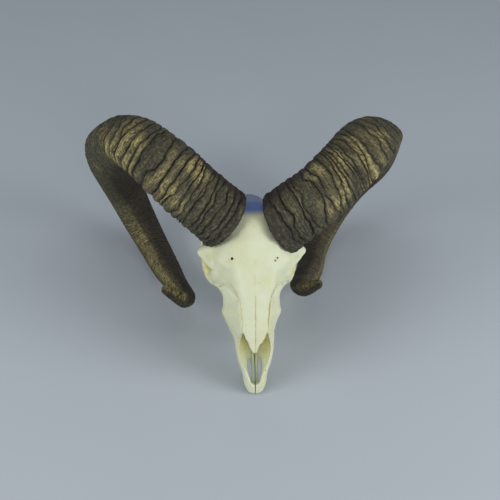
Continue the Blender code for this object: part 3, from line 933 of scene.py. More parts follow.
    @staticmethod
    def bells(table: Sequence[Sequence[float]], u: Array, angle: Array) -> Array:
        """Sum of bells on the sheath: strength times exp(-(along / long)^2 - (round / broad)^2).

        Args:
            table: worn patches or dents.
            u: share of the way along.
            angle: round the section.

        Returns:
            The sum at each place.
        """
        total = 0.0
        for share, degrees, long, broad, strength in table:
            off = np.degrees(np.arccos(np.clip(np.cos(angle - math.radians(degrees)), -1, 1)))
            total = total + strength * np.exp(-(((u - share) / long) ** 2) - (off / broad) ** 2)
        return total

    def facing(self, angle: Array, degrees: float) -> Array:
        """Cosine of the angle from a direction round the section; positive degrees turn to the head."""
        return np.cos(angle - math.radians(degrees) * self.side.value)

    def painted_shade(self, u: Array, angle: Array) -> Array:
        """Painted shade on the sheath: its upper edge at first, then the face turned to the head, and under
        the tip.

        Args:
            u: share of the way along.
            angle: round the section.

        Returns:
            The painted shade, from 0 to 0.9.
        """
        edge = ramp(self.facing(angle, 104), 0.42, 0.72) * (1 - ramp(u, 0.3, 0.45))
        border = np.interp(u, (0.55, 0.73, 0.82), self.inner_from)
        inner = ramp(self.facing(angle, 118) - border, -0.1, 0.1) * ramp(u, 0.34, 0.5)
        inner = inner * (1 - ramp(u, 0.88, 0.91))
        under = self.tip_dark * ramp(self.facing(angle, 4), 0.6, 0.92) * ramp(u, 0.92, 0.94)
        return 0.9 * np.maximum(np.maximum(edge, inner), under)

    def painted_highlight(self, u: Array, angle: Array) -> Array:
        """Painted highlights, golden, on the falling lengths: along their outer edge, then over the tip.

        Args:
            u: share of the way along.
            angle: round the section.

        Returns:
            The painted highlight, from 0 up.
        """
        strip = ramp(self.facing(angle, -150), 0.5, 0.95) * ramp(u, 0.5, 0.72) * (1 - ramp(u, 0.88, 0.91))
        tip = ramp(self.facing(angle, 72), 0.3, 0.8) * ramp(u, 0.945, 0.962)
        tip = np.maximum(tip, ramp(self.facing(angle, 110), -0.2, 0.4) * ramp(u, 0.985, 0.997))
        return np.maximum(self.edge_highlight * strip, self.tip_worn * tip)


@dataclass
class Horn:
    """One horn in four lengths, each standing for its node.

    The cuts between them are shares of the whole; each length has its own step between rings, in
    millimetres, and its own number of points in a ring.
    """

    shape: HornShape
    finish: bpy.types.Material
    cuts: tuple[float, ...] = (0.0, 0.26, 0.5, 0.78, 1.0)
    names: tuple[str, ...] = ("base", "bend", "fall", "tip")
    row_steps: tuple[float, ...] = (0.5, 0.5, 0.6, 0.6)
    columns: tuple[int, ...] = (280, 260, 180, 130)

    def build(self) -> list[bpy.types.Object]:
        """Build the four lengths.

        Returns:
            Their objects.
        """
        length = self.shape.line()[0][-1]
        spans = zip(self.names, self.cuts[:-1], self.cuts[1:], self.row_steps, self.columns)
        return [self.length_piece(name, a * length, b * length, step, n) for name, a, b, step, n in spans]

    def length_piece(
        self, name: str, start: float, end: float, step: float, columns: int
    ) -> bpy.types.Object:
        """One length: a grid of rows along and columns round, closed at both ends.

        Args:
            name: which length.
            start: distance of its first ring.
            end: distance of its last ring.
            step: distance between rings.
            columns: points in a ring.

        Returns:
            The object.
        """
        start = max(start, self.shape.rim_from)
        rows = np.linspace(start, end, int((end - start) / step) + 1)
        whole = self.shape.line()[0][-1]
        angle = np.linspace(0, 2 * math.pi, columns, endpoint=False)[None, :]
        made = self.shape.relief(rows[:, None], angle)
        skin = self.shape.surface(rows[:, None], angle, made["swell"])
        numbers = {key: value for key, value in made.items() if key != "swell"}
        if end >= whole - 1:
            skin, numbers, rows = self.round_tip(skin, numbers, rows)
        quads = sheet_quads(len(skin), columns)
        first, last = np.arange(columns)[::-1], np.arange(columns) + (len(skin) - 1) * columns
        if self.faces_inward(skin, quads, columns):
            quads, first, last = quads[:, ::-1], first[::-1], last[::-1]
        label = f"horn_{self.shape.side.word}_{name}"
        piece = mesh_piece(label, LIE.place(skin.reshape(-1, 3)), quads, self.finish, (first, last))
        for key, value in numbers.items():
            store(piece, key, value.ravel())
        self.lay_uv(piece, rows, columns)
        return self.enlist(piece, label)

    @staticmethod
    def faces_inward(skin: Array, quads: Array, columns: int) -> bool:
        """True if the quads turn clockwise as seen from outside.

        Args:
            skin: rings of points.
            quads: rows of four vertex numbers.
            columns: points in a ring.

        Returns:
            Whether most of the area faces the middle.
        """
        flat = skin.reshape(-1, 3)
        corner = flat[quads]
        normal = np.cross(corner[:, 2] - corner[:, 0], corner[:, 3] - corner[:, 1])
        heart = np.repeat(skin.mean(axis=1)[:-1], columns, axis=0)
        return bool(((corner.mean(axis=1) - heart) * normal).sum() < 0)

    def round_tip(self, skin: Array, numbers: dict[str, Array], rows: Array) -> tuple[Array, dict, Array]:
        """Add a dome: rings shrunk by cos t and moved on by sin t times the rounding.

        Args:
            skin: rings of the length.
            numbers: what the finish reads.
            rows: distances of the rings.

        Returns:
            The three with the dome's rings added.
        """
        last, heart = skin[-1], skin[-1].mean(axis=0)
        along = heart - skin[-4].mean(axis=0)
        along /= np.linalg.norm(along)
        t = np.radians(np.linspace(9, 87, 9))[:, None, None]
        dome = heart + (last - heart) * np.cos(t) + along * np.sin(t) * self.shape.tip_rounding
        ends = {key: np.repeat(values[-1:], len(dome), axis=0) for key, values in numbers.items()}
        numbers = {key: np.concatenate((values, ends[key])) for key, values in numbers.items()}
        more = rows[-1] + np.sin(t.ravel()) * self.shape.tip_rounding
        return np.concatenate((skin, dome)), numbers, np.concatenate((rows, more))

    @staticmethod
    def lay_uv(piece: bpy.types.Object, rows: Array, columns: int) -> None:
        """UV map: U is the distance along in decimetres, V the share of the way round.

        Args:
            piece: the length.
            rows: distances of its rings.
            columns: points in a ring.
        """
        mesh = piece.data
        layer = mesh.uv_layers.new(name="lengthwise")
        vertex = np.empty(len(mesh.loops), np.int32)
        mesh.loops.foreach_get("vertex_index", vertex)
        u = rows[vertex // columns] / 100.0
        v = np.abs((vertex % columns) / columns * 2 - 1)
        layer.data.foreach_set("uv", np.stack((u, v), axis=1).astype(np.float32).ravel())

    @staticmethod
    def enlist(piece: bpy.types.Object, node: str) -> bpy.types.Object:
        """Let the piece ride the root and stand for its node.

        Args:
            piece: the length.
            node: its node.

        Returns:
            The same object.
        """
        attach(piece, BODY)
        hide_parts(node)
        return piece


# ---------------------------------------------------------------- skull


@dataclass(frozen=True)
class SkullShape:
    """The skull as fields, for the right side; the left is its mirror image but for small marks.

    Masses are a middle with half widths, chains are points with radii, borders are depths with heights.
    Rows of muzzle: height, nasal edge out and its depth, cheek out and its depth, tooth line out and its
    depth. Rows of nose_hollow: height, half width, floor. Rows of nasal: height, half width, depth of its
    face. The fissure is distance out, height, half width and half height of the palatine slot. The nerve
    holes in the brow are signed in X: one on the left, two on the right.
    """

    forehead: Mass = ((0, 44, 4), (46, 45, 51))
    braincase: Mass = ((0, 80, 31), (35, 42, 32))
    condyle: Mass = ((12.5, 120, 54), (8.5, 10, 12))
    bulla: Mass = ((22, 112, 33), (10, 12, 13))
    orbit: Mass = ((57, 51, -11), (25, 16, 18))
    temple: Mass = ((48, 62, 24), (12, 13, 17))
    spine_hole: Mass = ((0, 118, 58), (8.5, 9, 13))
    crown: Chain = (((0, 28, 16), 26), ((0, 62, 46), 17.5))
    core: Chain = (((16, 44, 14), 26), ((30, 30, 32), 23))
    brow: Chain = (((28, 22, 2), 15), ((54, 31, 0), 6.5), ((58, 33, -1), 4.8))
    brow_edge: Chain = (
        ((57.5, 32, -2), 4.8), ((52.8, 31, -7.7), 5.6), ((43.5, 30, -17.5), 6), ((38.7, 29, -25.5), 6.1),
    )
    tear_bone: Chain = (
        ((31, 20, -12), 15), ((39, 28, -24), 7), ((41.5, 42, -29.5), 6.5), ((43, 52, -31), 6),
    )
    base: Chain = (((0, 108, 51), 11.5), ((0, 97, 0), 9))
    ear_spur: Chain = (((28, 110, 50), 8), ((31, 136, 45), 3.5))
    palate_spur: Chain = (((13, 88, -14), 4), ((12, 103, 4), 2.6))
    orbit_rim: Chain = (((38.7, 29, -25.5), 6), ((41, 39, -30), 5.6), ((43, 52, -31.5), 5.8))
    orbit_bar: Chain = (((55.5, 36, 0), 5), ((54, 50, 3), 4.6), ((52.5, 64, 1), 5))
    arch: Chain = (
        ((31, 50, -37), 7.5), ((42, 54, -33.5), 6), ((46.5, 58, -28.5), 6.2), ((50, 61, -20), 5.6),
        ((51.5, 66, -4), 5.4), ((51, 72, 12), 5), ((45, 80, 28), 6.2), ((34, 84, 38), 9),
    )
    muzzle: tuple[tuple[float, ...], ...] = (
        (14, 27, 1, 42, 40, 26, 92), (-20, 25, 0, 42, 40, 27, 90), (-41, 22, 1.5, 37.5, 41, 28, 88),
        (-48, 20, 2, 34.5, 42, 28, 87), (-55, 18.5, 2.5, 33, 42, 28, 85),
        (-64, 17.5, 3, 33.2, 43, 28.5, 83), (-71, 17, 3.5, 35, 43, 28.5, 82),
        (-75, 17, 4, 33.8, 43, 28.5, 81), (-81, 16.5, 4.5, 30.5, 44, 28, 80),
        (-89, 16, 5.5, 26.8, 45, 26, 78), (-96, 15.5, 8.5, 24.4, 46, 24, 76),
        (-106, 15, 16, 23.4, 46, 20.5, 72), (-117, 15, 24, 22.4, 47, 18, 69),
        (-132, 13.5, 32, 19, 49, 15, 65), (-142, 10.5, 37, 15.3, 51, 12.5, 62),
        (-149, 9.5, 40, 13.8, 52, 12.5, 61.5), (-154, 9, 42, 13.3, 53, 12.5, 61),
        (-160, 7.8, 44.5, 11.6, 53, 11, 60), (-165, 6, 48, 9.4, 53, 8.5, 58),
        (-170, 3, 51, 6, 53, 5, 55.5),
    )
    nose_hollow: tuple[tuple[float, float, float], ...] = (
        (-60, 10, 40), (-80, 12, 56), (-92, 13, 62), (-100, 15.5, 62), (-106, 17.3, 61), (-116, 18.6, 60),
        (-125, 17.6, 59), (-132, 15.2, 58), (-142, 10.3, 57), (-150, 7.2, 56.5), (-155, 5.5, 56),
        (-157, 4, 50),
    )
    nasal: tuple[tuple[float, float, float], ...] = (
        (-118.5, 2.4, 12.5), (-113, 5.2, 11.4), (-92, 15.2, 6), (-64, 17.2, 3.2), (-48, 19.4, 1.9),
        (-41, 14, 1.4), (-37, 6, 1.2),
    )
    nasal_thick: float = 4.2
    nasal_bow: float = 0.012
    fissure: tuple[float, float, float, float] = (6.1, -141.5, 2.7, 13.8)
    muzzle_border: Border = ((-12, -38), (26, -38), (60, -46), (73, -19), (112, -17))
    tip_border: Border = ((-12, -92), (20, -98), (46, -118), (84, -124))
    under_orbit: Chain = (((41, 0, -39.5), 0), ((27, 0, -44), 0), ((19.5, 0, -57), 0))
    under_orbit_size: tuple[float, float] = (2.1, 2.4)
    nose_bar: Chain = (((1.9, 57.5, -122), 1.3), ((2.1, 56, -158), 1.6))
    nerve_holes: tuple[tuple[Knot, Knot], ...] = (
        (((-26.4, -2, -9.8), 1.5), ((-24.5, 20, -7), 1.1)),
        (((26.2, -2, -9.8), 1.15), ((24.5, 20, -7), 0.9)),
        (((23.4, -2, -12.6), 1.0), ((22, 20, -11), 0.8)),
    )
    cheek_inner: float = 44.0
    jaw_swell: float = 1.1
    nose_end: float = -169.2
    hollow_power: float = 2.4
    gap: float = 0.03
    lean: float = 3.6

    def leaning(self, y: Array, z: Array) -> Array:
        """How far the nose end of the muzzle stands to the right: more further down and further in."""
        return self.lean * ramp(-z, 74, 112) * np.clip((y - 10) / 45, 0, 1)

    @staticmethod
    def table(z: Array, rows: Sequence[Sequence[float]], column: int) -> Array:
        """A column of a table at heights Z, straight between its rows."""
        ordered = np.array(sorted(rows), float)
        return np.interp(z, ordered[:, 0], ordered[:, column])

    def snout(self, x: Array, y: Array, z: Array) -> Array:
        """Muzzle: at each height, what lies inside its nasal edge, cheek and tooth lines, rounded.

        Args:
            x: distance out from the midline.
            y: depth.
            z: height.

        Returns:
            The field at those places.
        """
        nasal, front, cheek, middle, tooth, back = (self.table(z, self.muzzle, k) for k in range(1, 7))
        cheek, tooth = cheek + self.jaw_swell, tooth + self.jaw_swell
        field = most(front - y, flank(x, y, nasal, front, cheek, middle), 5)
        field = most(field, most(flank(x, y, cheek, middle, tooth, back), y - back, 5), 4.5)
        return most(most(field, z - 10, 10), self.nose_end - z, 3)

    def hollow(self, x: Array, y: Array, z: Array) -> Array:
        """Nasal opening: a scoop with a round floor, roofed by the nasal bones above its notch.

        The scoop is (|x| / width)^2.4 + (depth / floor)^2.4 = 1 at each height.

        Args:
            x: distance out from the midline.
            y: depth.
            z: height.

        Returns:
            The field at those places.
        """
        width, floor = (self.table(z, self.nose_hollow, k) for k in (1, 2))
        power = self.hollow_power
        lip = np.interp(z, [-168, -92, -60], [38, 22, 20])
        scoop = (x / width) ** power + (np.maximum(y - lip, 0) / (floor - lip)) ** power
        scoop = scoop ** (1 / power)
        roof = np.interp(z, [-175, -93, -92.9, -60], [-20, -20, 8, 8])
        field = most((scoop - 1) * width * 0.8, roof - y, 3)
        return most(most(field, z + 62, 4), -158 - z, 2)

    def nasal_plate(
        self, x: Array, y: Array, z: Array, side: Side, grow: Array | None = None
    ) -> Array:
        """Nasal bone: a bowed plate inside its wavering outline; the right one has a step near its tip.

        Its face runs into the forehead's at the top. When grown it is its own seat, open in front; a
        seat smaller than the plate hides the border between them.

        Args:
            x: distance out from the midline.
            y: depth.
            z: height.
            side: which of the two.
            grow: how much larger the seat is than the plate; None for the plate.

        Returns:
            The field at those places.
        """
        half, front = (self.table(z, self.nasal, k) for k in (1, 2))
        half = half + 0.3 * np.sin(z / 2.1 + 2 * np.sin(z / 5.3)) * ramp(-z, 44, 52)
        if side is Side.RIGHT:
            half = half - 2.3 * np.clip((-107.2 - z) / 0.8, 0, 1) * np.clip((z + 121) / 8, 0, 1)
        face = front + self.nasal_bow * x * x + 0.5 * np.exp(-((x / 1.5) ** 2))
        seat, grow = grow is not None, 0.0 if grow is None else grow
        field = y - face - self.nasal_thick - grow
        if not seat:
            skin = face - y + ramp(z, -64, -50) * (self.skull(x, y, z) - face + y)
            skin = skin + 0.7 * ramp(z, -51, -43) - 0.1 * ramp(z, -60, -52)
            field = most(skin, field, 0.8)
        field = most(field, x - half - grow, 0.4)
        return most(most(field, -118.5 - z - grow, 1.5), z + (50 if seat else 37) - grow, 0.4)

    def slot(self, x: Array, y: Array, z: Array) -> Array:
        """Palatine slot: a long ellipse cut right through.

        Args:
            x: distance out from the midline.
            y: depth.
            z: height.

        Returns:
            The field at those places.
        """
        across, height, wide, tall = self.fissure
        middle = across + 0.03 * (z - height)
        reach = np.sqrt(((x - middle) / wide) ** 2 + ((z - height) / tall) ** 2)
        return most(reach * wide - wide, 48 - y, 1)

    def hollows(self, x: Array, y: Array, z: Array) -> Array:
        """Orbit, temple, spine hole and nasal opening together, for staining what lies in them.

        Args:
            x: distance out from the midline.
            y: depth.
            z: height.

        Returns:
            The field at those places.
        """
        p = (x, y, z)
        field = np.minimum(egg(p, *self.orbit), egg(p, *self.temple))
        return np.minimum(np.minimum(field, egg(p, *self.spine_hole)), self.hollow(x, y, z))

    def skull(self, x: Array, y: Array, z: Array) -> Array:
        """The whole skull but its nasal bones: masses joined with fillets, less hollows, plus bars.

        A groove under the orbit sinks the face by a bell of the distance from its line.

        Args:
            x: distance out from the midline.
            y: depth.
            z: height.

        Returns:
            The field at those places.
        """
        p = (x, y, z)
        d = least(egg(p, *self.forehead), egg(p, *self.braincase), 14)
        for chain, fillet in ((self.crown, 16), (self.core, 10), (self.brow, 9), (self.tear_bone, 8)):
            d = least(d, limb(p, chain), fillet)
        for hole, edge in ((self.orbit, 3), (self.temple, 5)):
            d = most(d, -egg(p, *hole), edge)
        for chain in (self.brow_edge, self.orbit_bar, self.orbit_rim):
            d = least(d, limb(p, chain), 3)
        for chain, fillet in ((self.arch, 5), (self.base, 8)):
            d = least(d, limb(p, chain), fillet)
        for lump in (self.condyle, self.bulla):
            d = least(d, egg(p, *lump), 5)
        for chain, fillet in ((self.ear_spur, 6), (self.palate_spur, 5)):
            d = least(d, limb(p, chain), fillet)
        d = most(d, -egg(p, *self.spine_hole), 3)
        d = least(d, self.snout(x, y, z), 10)
        d = most(d, -self.hollow(x, y, z), 2)
        d = most(d, -self.slot(x, y, z), 1.5)
        d = least(d, limb(p, self.nose_bar), 1)
        deep, wide = self.under_orbit_size
        return d + deep * np.exp(-((limb((x, 0, z), self.under_orbit) / wide) ** 2)) * ramp(y, 50, 40)

    def ripple(self, x: Array, y: Array, z: Array) -> Array:
        """Wander of the sutures, in millimetres."""
        long = 0.9 * np.sin(z / 2.3 + 2 * np.sin(y / 5.1))
        return long + 0.5 * np.sin(y / 1.7 + x / 1.9 + 1.3 * np.sin(z / 2.9))

    @staticmethod
    def nose_side(y: Array, z: Array, border: Border) -> Array:
        """Distance below a border line of the side view, positive towards the nose.

        Args:
            y: depth.
            z: height.
            border: depths with the line's heights there.

        Returns:
            The gap in height over the root of 1 + slope^2.
        """
        depths, heights = np.array(border, float).T
        slopes = np.gradient(heights, depths)
        line, slope = np.interp(y, depths, heights), np.interp(y, depths, slopes)
        return (line - z) / np.sqrt(1 + slope * slope)

    def muzzle_side(self, x: Array, y: Array, z: Array) -> Array:
        """Positive in the upper jaw, whose border drops beside the nasal bones."""
        beside = np.clip((27 - x) / 9, 0, 1) * np.clip((34 - y) / 14, 0, 1)
        return self.nose_side(y, z, self.muzzle_border) - 18 * beside + 0.7 * self.ripple(x, y, z)

    def tip_side(self, x: Array, y: Array, z: Array) -> Array:
        """Positive in the nose-tip bone."""
        return self.nose_side(y, z, self.tip_border) + 0.5 * self.ripple(x, y, z)

    def back_side(self, x: Array, y: Array, z: Array) -> Array:
        """Positive behind the frontal bones: past a slanting plane through depth 65, height 49."""
        return (y - 65) * 0.86 + (z - 49) * 0.5 + self.ripple(x, y, z)

    def cheek_side(self, x: Array, y: Array, z: Array) -> Array:
        """Positive in the cheek bone: two overlapping blocks of the side view, out from the inner line.

        Args:
            x: distance out from the midline.
            y: depth.
            z: height.

        Returns:
            How far inside the bone's borders each place is.
        """
        low = np.minimum(np.minimum(y - 38, -24 - z), np.minimum(z + 58, 81 - y))
        tall = np.minimum(np.minimum((y - 52) * 0.96 - (z + 24) * 0.27, 4 - z), np.minimum(z + 58, 82 - y))
        return np.minimum(np.maximum(low, tall) + 0.5 * self.ripple(x, y, z), x - self.cheek_inner)


class Bone(Enum):
    """Bones, each with its piece name, its node and whether there is one a side."""

    FRONTAL = ("frontal_bones", "cranium", False)
    BRAINCASE = ("braincase", "cranium", False)
    MAXILLA = ("maxilla", "maxilla", True)
    PREMAXILLA = ("premaxilla", "premaxilla", True)
    NASAL = ("nasal", "nasal", True)
    CHEEK = ("cheek", "cheek", True)

    @property
    def paired(self) -> bool:
        """True where the bone is built once a side."""
        return self.value[2]

    def names(self, side: Side) -> tuple[str, str]:
        """Names of the piece and of the node it stands for."""
        piece, node, paired = self.value
        return (f"{piece}_{side.word}", f"{node}_{side.word}") if paired else (piece, node)


@dataclass(frozen=True)
class BoneBox:
    """Box that holds a bone, and the step of its grid, in millimetres."""

    low: Point
    high: Point
    step: float


BOXES = {
    Bone.FRONTAL: BoneBox((-68, -8, -62), (68, 112, 76), 1.0),
    Bone.BRAINCASE: BoneBox((-66, 44, -52), (66, 146, 84), 1.25),
    Bone.MAXILLA: BoneBox((-2, -6, -128), (46, 98, -10), 0.9),
    Bone.PREMAXILLA: BoneBox((-1, 4, -172), (27, 72, -88), 0.6),
    Bone.NASAL: BoneBox((-1, -4, -121), (23, 22, -34), 0.6),
    Bone.CHEEK: BoneBox((41, 34, -62), (67, 90, 8), 0.8),
}


@dataclass
class Skull:
    """All the bones, each a level set of its own, with wavering hairline sutures between them.

    Paired bones stop midline_gap short of the middle, the nose-tip bones the wider slit; rounding is
    that of the edges along the sutures. Bumps are height, cell and seed of the skin's noise. Pits are
    dark specks and smudges tan ones: X, height and size.
    """

    shape: SkullShape
    finish: bpy.types.Material
    midline_gap: float = 0.03
    slit: float = 0.46
    rounding: float = 0.14
    bumps: tuple[tuple[float, float, int], ...] = ((0.28, 16.0, 4), (0.1, 5.0, 9))
    pits: tuple[Point, ...] = (
        (-18.2, -100.8, 0.8), (-10.3, -85.5, 0.8), (-7.2, -78.7, 0.5), (11.9, -140.9, 0.7),
        (-10.6, -151.6, 0.7), (4.6, -37.5, 0.6), (8.2, -107.7, 0.8), (-22.5, -36.0, 0.5), (47.0, -24.0, 0.9),
        (45.2, -29.0, 0.8), (-47.0, -21.7, 0.7), (27.5, -25.0, 0.6), (19.5, -51.0, 0.6),
    )
    smudges: tuple[Point, ...] = (
        (2.5, 36.5, 3.0), (-0.9, 27.4, 2.4), (-28.8, -12.0, 2.6), (25.0, -10.8, 3.0), (46.0, -26.0, 3.0),
        (-46.5, -22.5, 2.0), (-1.0, -30.5, 1.8), (21.0, -47.0, 1.8), (-21.0, -48.0, 2.0),
        (-18.0, -74.0, 1.6),
    )

    def build(self) -> list[bpy.types.Object]:
        """Build every bone.

        Returns:
            Their objects.
        """
        sides = {True: tuple(Side), False: (Side.RIGHT,)}
        return [self.bone(bone, side) for bone in Bone for side in sides[bone.paired]]

    def field(self, bone: Bone, side: Side, x: Array, y: Array, z: Array) -> Array:
        """Field of one bone: the skull within the bone's borders, each less a hair's gap.

        Args:
            bone: which bone.
            side: which side.
            x: distance out from the midline, signed for a bone that isn't paired.
            y: depth.
            z: height.

        Returns:
            The field on the same grid.
        """
        s, gap, edge = self.shape, self.shape.gap, self.rounding
        out = np.abs(x) if bone.paired else np.sqrt(x * x + 0.3)
        if bone is Bone.NASAL:
            middle = self.midline_gap - 0.6 * ramp(z, -56, -44)
            return most(s.nasal_plate(out, y, z, side), middle - x, 0.5)
        whole = s.skull(out, y, z)
        if bone in (Bone.MAXILLA, Bone.FRONTAL, Bone.PREMAXILLA):
            seat = s.nasal_plate(out, y, z, side, gap - 0.75 * ramp(z, -62, -54))
            whole = most(whole, -seat, 0.15)
        muzzle, back, cheek = s.muzzle_side(out, y, z), s.back_side(out, y, z), s.cheek_side(out, y, z)
        if bone is Bone.BRAINCASE:
            return most(most(whole, gap - back, edge), most(muzzle, cheek, edge) + gap, edge)
        if bone is Bone.CHEEK:
            return most(whole, gap - cheek, edge)
        whole = most(whole, cheek + gap, edge)
        if bone is Bone.FRONTAL:
            for start, end in s.nerve_holes:
                whole = most(whole, -rod((x, y, z), start, end), 0.8)
            return most(most(whole, back + gap, edge), muzzle + gap, edge)
        tip = s.tip_side(out, y, z)
        whole = most(whole, gap - muzzle, edge)
        if bone is Bone.MAXILLA:
            return most(most(whole, tip + gap, edge), self.midline_gap - x, edge)
        tip = tip + 0.7 * ramp(y, 38, 46)
        return most(most(whole, gap - tip, edge), self.slit - x, 1.2)

    def bone(self, bone: Bone, side: Side) -> bpy.types.Object:
        """Mesh one bone, ripple its skin, mirror it if it is a left one and store what its finish reads.

        Args:
            bone: which bone.
            side: which side.

        Returns:
            The object.
        """
        box = BOXES[bone]
        axes, grid = level_grid(box.low, box.high, box.step)
        points, quads = net_surface(self.field(bone, side, *grid).astype(np.float32), axes)
        points = self.settle_on(bone, side, points, box.step)
        points, quads = self.largest(points, quads)
        numbers = self.marks(bone, side, points)
        points = points + self.weathering(bone, side, points, quads)
        if side is Side.LEFT:
            points, quads = points * (-1, 1, 1), quads[:, ::-1]
        if bone in (Bone.MAXILLA, Bone.PREMAXILLA):
            points[:, 0] += self.shape.leaning(points[:, 1], points[:, 2])
        label, node = bone.names(side)
        piece = mesh_piece(label, LIE.place(points), quads, self.finish)
        for key, value in numbers.items():
            store(piece, key, value)
        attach(piece, BODY)
        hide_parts(node)
        return piece

    def settle_on(self, bone: Bone, side: Side, points: Array, step: float) -> Array:
        """Move the vertices onto the level: twice, by the field over its slope, at most 0.35 of a step.

        Args:
            bone: which bone.
            side: which side.
            points: vertices, right-sided.
            step: grid step.

        Returns:
            The moved vertices.
        """
        nudge, flattest, most_steps = 0.15, 0.2, 0.35
        for _ in range(2):
            here = self.field(bone, side, *points.T)
            ahead = [self.field(bone, side, *(points + nudge * axis).T) for axis in np.eye(3)]
            slope = (np.stack(ahead, axis=1) - here[:, None]) / nudge
            move = -here[:, None] * slope / np.maximum((slope * slope).sum(axis=1), flattest)[:, None]
            points = points + np.clip(move, -step * most_steps, step * most_steps)
        return points

    @staticmethod
    def largest(points: Array, quads: Array) -> tuple[Array, Array]:
        """Keep the largest joined part of a mesh, found by passing the least number along its edges.

        Args:
            points: vertices.
            quads: rows of four vertex numbers.

        Returns:
            The part's vertices and quads.
        """
        label = np.arange(len(points))
        while True:
            lowest = label[quads].min(axis=1)
            fresh = label.copy()
            for k in range(4):
                np.minimum.at(fresh, quads[:, k], lowest)
            fresh = fresh[fresh]
            if (fresh == label).all():
                break
            label = fresh
        main = np.bincount(label).argmax()
        keep = label == main
        number = np.cumsum(keep) - 1
        return points[keep], number[quads[keep[quads[:, 0]]]]

    def weathering(self, bone: Bone, side: Side, points: Array, quads: Array) -> Array:
        """Small bumps along the skin's normals: noise of 16 and 5 mm cells, unlike on the two sides.

        Their sideways part fades towards the midline on paired bones, which meet there.

        Args:
            bone: which bone.
            side: which side.
            points: vertices, right-sided.
            quads: rows of four vertex numbers.

        Returns:
            The move of each vertex.
        """
        corner = points[quads]
        normal = np.cross(corner[:, 2] - corner[:, 0], corner[:, 3] - corner[:, 1])
        total = np.zeros_like(points)
        for k in range(4):
            np.add.at(total, quads[:, k], normal)
        total /= np.maximum(np.linalg.norm(total, axis=1), 1e-9)[:, None]
        x, y, z = points.T
        x = x * side.value
        height = sum(rise * grain(x, y, z, size, seed) for rise, size, seed in self.bumps)
        move = total * height[:, None]
        if bone.paired:
            move[:, 0] *= np.clip(np.abs(x) / 4, 0, 1)
        return move

    def marks(self, bone: Bone, side: Side, points: Array) -> dict[str, Array]:
        """Stain, seam and slate at each vertex.

        Stain grows inside the hollows and under the base; seam is a bell round each border, and painted
        shade in the nerve holes; slate turns the crown blue-grey. Pits and smudges are bells at single
        spots.

        Args:
            bone: which bone.
            side: which side.
            points: vertices, right-sided.

        Returns:
            The three, from 0 to 1.
        """
        s = self.shape
        # Stain in the hollows, on the cheeks, towards the back and on the crown.
        signed, x, y, z = points[:, 0] * side.value, np.abs(points[:, 0]), points[:, 1], points[:, 2]
        within = np.clip(1 - np.maximum(s.hollows(x, y, z), -4) / 1.6, 0, 1) * (bone is not Bone.NASAL)
        within = within * ramp(z, -136, -108) * (1 - 0.8 * ramp(x, 8, 4) * ramp(-z, 112, 120))
        cheek = np.clip((y - 44) / 8, 0, 1) * np.clip((x - 38) / 6, 0, 1)
        stain = np.maximum(within * 0.95, 0.42 * cheek) + 0.55 * np.clip((y - 70) / 40, 0, 1)
        stain = np.maximum(stain, 0.3 * ramp(z, 14, 42) * (y < 60))
        # Lines: the broken one down the middle, the nasal bones' and the other sutures.
        broken = ramp(np.sin(z / 3.1) + np.sin(z / 1.3), -0.3, 0.8)
        middle = np.exp(-(((x + 0.4 * np.sin(z / 4)) / 0.9) ** 2))
        stain = np.maximum(stain, 0.7 * middle * broken * ramp(-z, 0, 12) * (z > -60))
        middle = middle * (0.1 * broken * ramp(-z, 18, 30) + 0.3 * ramp(-z, 50, 70)) * (z > -117)
        plate = np.exp(-((s.nasal_plate(x, y, z, side, 0 * z) / 0.8) ** 2)) * (y < 30) * ramp(-z, 50, 62)
        stain = np.maximum(stain, 0.5 * plate)
        borders = 0.12 * np.exp(-((s.muzzle_side(x, y, z) / 0.8) ** 2)) * (z < -34) * ((y > 24) | (x < 27))
        borders = borders + 0.1 * np.exp(-((s.tip_side(x, y, z) / 0.6) ** 2)) * (x > 15)
        stain = np.maximum(stain, 3.0 * borders * (bone is not Bone.NASAL))
        seam = (borders * (bone is not Bone.NASAL) + 0.12 * plate) * (1 - within) + middle
        # Single spots: specks, smudges, and painted shade in the nerve holes.
        for px, pz, size in self.pits:
            spot = np.exp(-(((signed - px) ** 2 + (z - pz) ** 2) / size**2)) * (y < 60)
            seam = seam + 0.9 * spot
        for px, pz, size in self.smudges:
            spot = np.exp(-(((signed - px) ** 2 + (z - pz) ** 2) / size**2)) * (y < 60)
            stain = np.maximum(stain, 0.75 * spot)
        # Painted shade in and round each nerve hole.
        for ((hx, _, hz), radius), _ in s.nerve_holes:
            around = (signed - hx) ** 2 + (z - hz) ** 2
            seam = seam + np.exp(-around / (radius * 0.95) ** 2) * (y < 30)
        # Blue-grey over the crown between the horns, strongest low on it.
        slate = ramp(z, 38, 47) * (0.98 - 0.2 * ramp(z, 54, 58))
        slate = slate * ramp(x, 20, 12) * ramp(y + 2 * np.sin(x / 3), 80, 58)
        return {"stain": np.clip(stain, 0, 0.95), "seam": np.clip(seam, 0, 0.95), "slate": slate}


